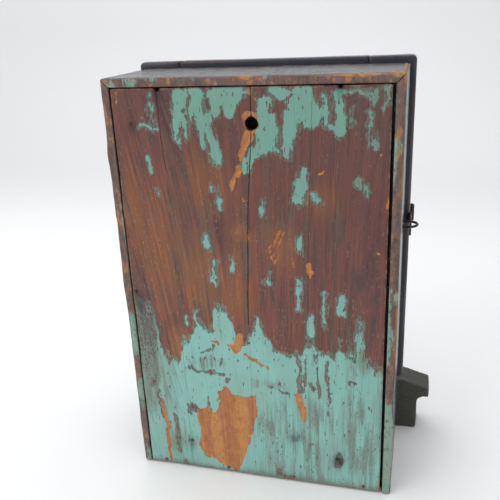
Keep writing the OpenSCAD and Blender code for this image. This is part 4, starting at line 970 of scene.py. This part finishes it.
def make_plinth():
    low, high = box_of(["plinth"])
    piece = solid_copy("plinth_worn", ["plinth"], "case", 1.8, smooth=2)
    co = verts_mm(piece.data)
    normal = np.zeros(len(co) * 3, np.float32)
    piece.data.vertices.foreach_get("normal", normal)
    normal = normal.reshape(-1, 3)
    dent = np.clip(layers(co, 14, 61, 4), -1, 1) * 0.35 + 0.4
    co = np.clip(co - normal * dent[:, None], low + INSIDE_MM, high - INSIDE_MM)
    edge = np.minimum(edge_distance(co, low, high), 8)
    set_verts_mm(piece.data, co)
    set_fields(piece, edge=edge)
    dress(piece, plinth_paint())


def make_door(door_paint, rail_paint):
    for n, paint, voxel, seed, wear in (
            ("door_stiles", door_paint, 1.8, 21, 1.1), ("door_rails", rail_paint, 1.8, 22, 0.7),
            ("door_upper_panel", door_paint, 1.8, 23, 0.4),
            ("door_lower_panel", door_paint, 1.6, 24, 0.4), ("panel_beads", door_paint, 1.0, 25, 0.2)):
        make_board(n + "_worn", n, "door", paint, voxel, seed, wear)


# ---- the pull's spring ----


def make_pull_spring():
    """The round-wire coil under the pull bar's collar, which on the real box shortens as the bar comes
    down; here it is built at one fixed length.
    """
    wire, turns, steps, sides = 0.7, 11, 36, 14
    low, high = box_of(["pull_spring"])
    middle = (low + high) / 2
    radius = (high[0] - low[0]) / 2 - wire
    turn = np.arange(turns * steps + 1) / steps
    share = np.interp(turn, (0, 1, turns - 1, turns), (0.0, 0.025, 0.975, 1.0))
    angle = 2 * math.pi * turn
    out = np.stack([np.cos(angle), np.sin(angle), np.zeros_like(angle)], axis=1)
    rise = (high[2] - low[2] - 2 * wire) * share
    line = out * radius + np.array([middle[0], middle[1], low[2] + wire])
    line[:, 2] += rise
    along = np.gradient(line, axis=0)
    along /= np.linalg.norm(along, axis=1)[:, None]
    over = np.cross(along, out)
    bm = bmesh.new()
    rings = []
    spokes = [2 * math.pi * k / sides for k in range(sides)]
    for centre, outward, sideways in zip(line, out, over):
        ring = [centre + wire * (math.cos(a) * outward + math.sin(a) * sideways) for a in spokes]
        rings.append([bm.verts.new(corner * MM) for corner in ring])
    for a, b in zip(rings, rings[1:]):
        for k in range(sides):
            bm.faces.new((a[k], a[k - 1], b[k - 1], b[k]))
    bm.faces.new(rings[0])
    bm.faces.new(list(reversed(rings[-1])))
    bmesh.ops.recalc_face_normals(bm, faces=bm.faces)
    for face in bm.faces:
        face.smooth = len(face.verts) == 4
    piece = add_mesh("pull_coil", bm)
    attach(piece, "case")
    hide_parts("pull_spring")
    dress(piece, metal_look("spring_steel", (0.44, 0.44, 0.45), (0.16, 0.14, 0.12), 0.34, rust=0.4))
    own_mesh(piece)


# ---- the metal, glass and other pieces that keep their CAD shape ----


EDGE_MM, EDGE_DEGREES = 0.25, 40


def keep_nodes():
    """Gives the CAD's own pieces their looks, by material slot, and softens their edges."""
    tarnished = metal_look("tarnished_brass", (0.075, 0.052, 0.026), (0.022, 0.017, 0.012), 0.6)
    looks = {
        "brass": metal_look("old_brass", (0.62, 0.44, 0.17), (0.16, 0.095, 0.035), 0.34,
                            brush=GRAINS["z"]),
        "steel": metal_look("old_steel", (0.50, 0.50, 0.50), (0.20, 0.18, 0.16), 0.36, rust=0.5,
                            brush=GRAINS["x"]),
        "blued": metal_look("blued_steel", (0.075, 0.095, 0.19), (0.05, 0.045, 0.05), 0.30),
        "nickel": metal_look("worn_nickel", (0.66, 0.64, 0.60), (0.36, 0.31, 0.22), 0.22, rust=0.25),
        "rust": metal_look("rusted_iron", (0.10, 0.07, 0.05), (0.10, 0.05, 0.03), 0.7, rust=2.0),
        "iron": black_iron(), "red": red_enamel(), "glass": old_glass(),
        "slate": smooth_look("honed_slate", (0.030, 0.033, 0.037), (0.060, 0.064, 0.068),
                             rough=0.55, grain=260, depth=0.0004),
        "hard_rubber": smooth_look("hard_rubber", (0.008, 0.0075, 0.007), (0.020, 0.017, 0.014),
                                   rough=0.3, grain=500, depth=0.0001, coat=0.3),
        "cloth_wire": cloth_look(),
    }
    for row in frame["record"]["subparts"]:
        piece = NODES[row["node"]]
        if piece.hide_render:
            continue
        dress(piece, tarnished if row["node"] == "plate_back" else looks[row["material_slot"]])
        if row["material_slot"] in ("glass", "cloth_wire"):
            continue
        soft = piece.modifiers.new("soft_edges", "BEVEL")
        soft.width, soft.segments = EDGE_MM * MM, 2
        soft.limit_method, soft.angle_limit = "ANGLE", math.radians(EDGE_DEGREES)
        soft.harden_normals = False


make_camera()
make_stage()
for lamp_row in LAMPS:
    make_lamp(*lamp_row)

make_back_board()
make_case(frame_edge_paint(), dark_paint("inner_wood", "x", INNER_WOOD, wear=-0.6))
make_plinth()
make_door(dark_paint("door_paint", "z", chip=DOOR_WOOD, green=0.35, wear=0.55),
          dark_paint("rail_paint", "x", chip=DOOR_WOOD, green=0.35, wear=0.45))
make_pull_spring()
keep_nodes()
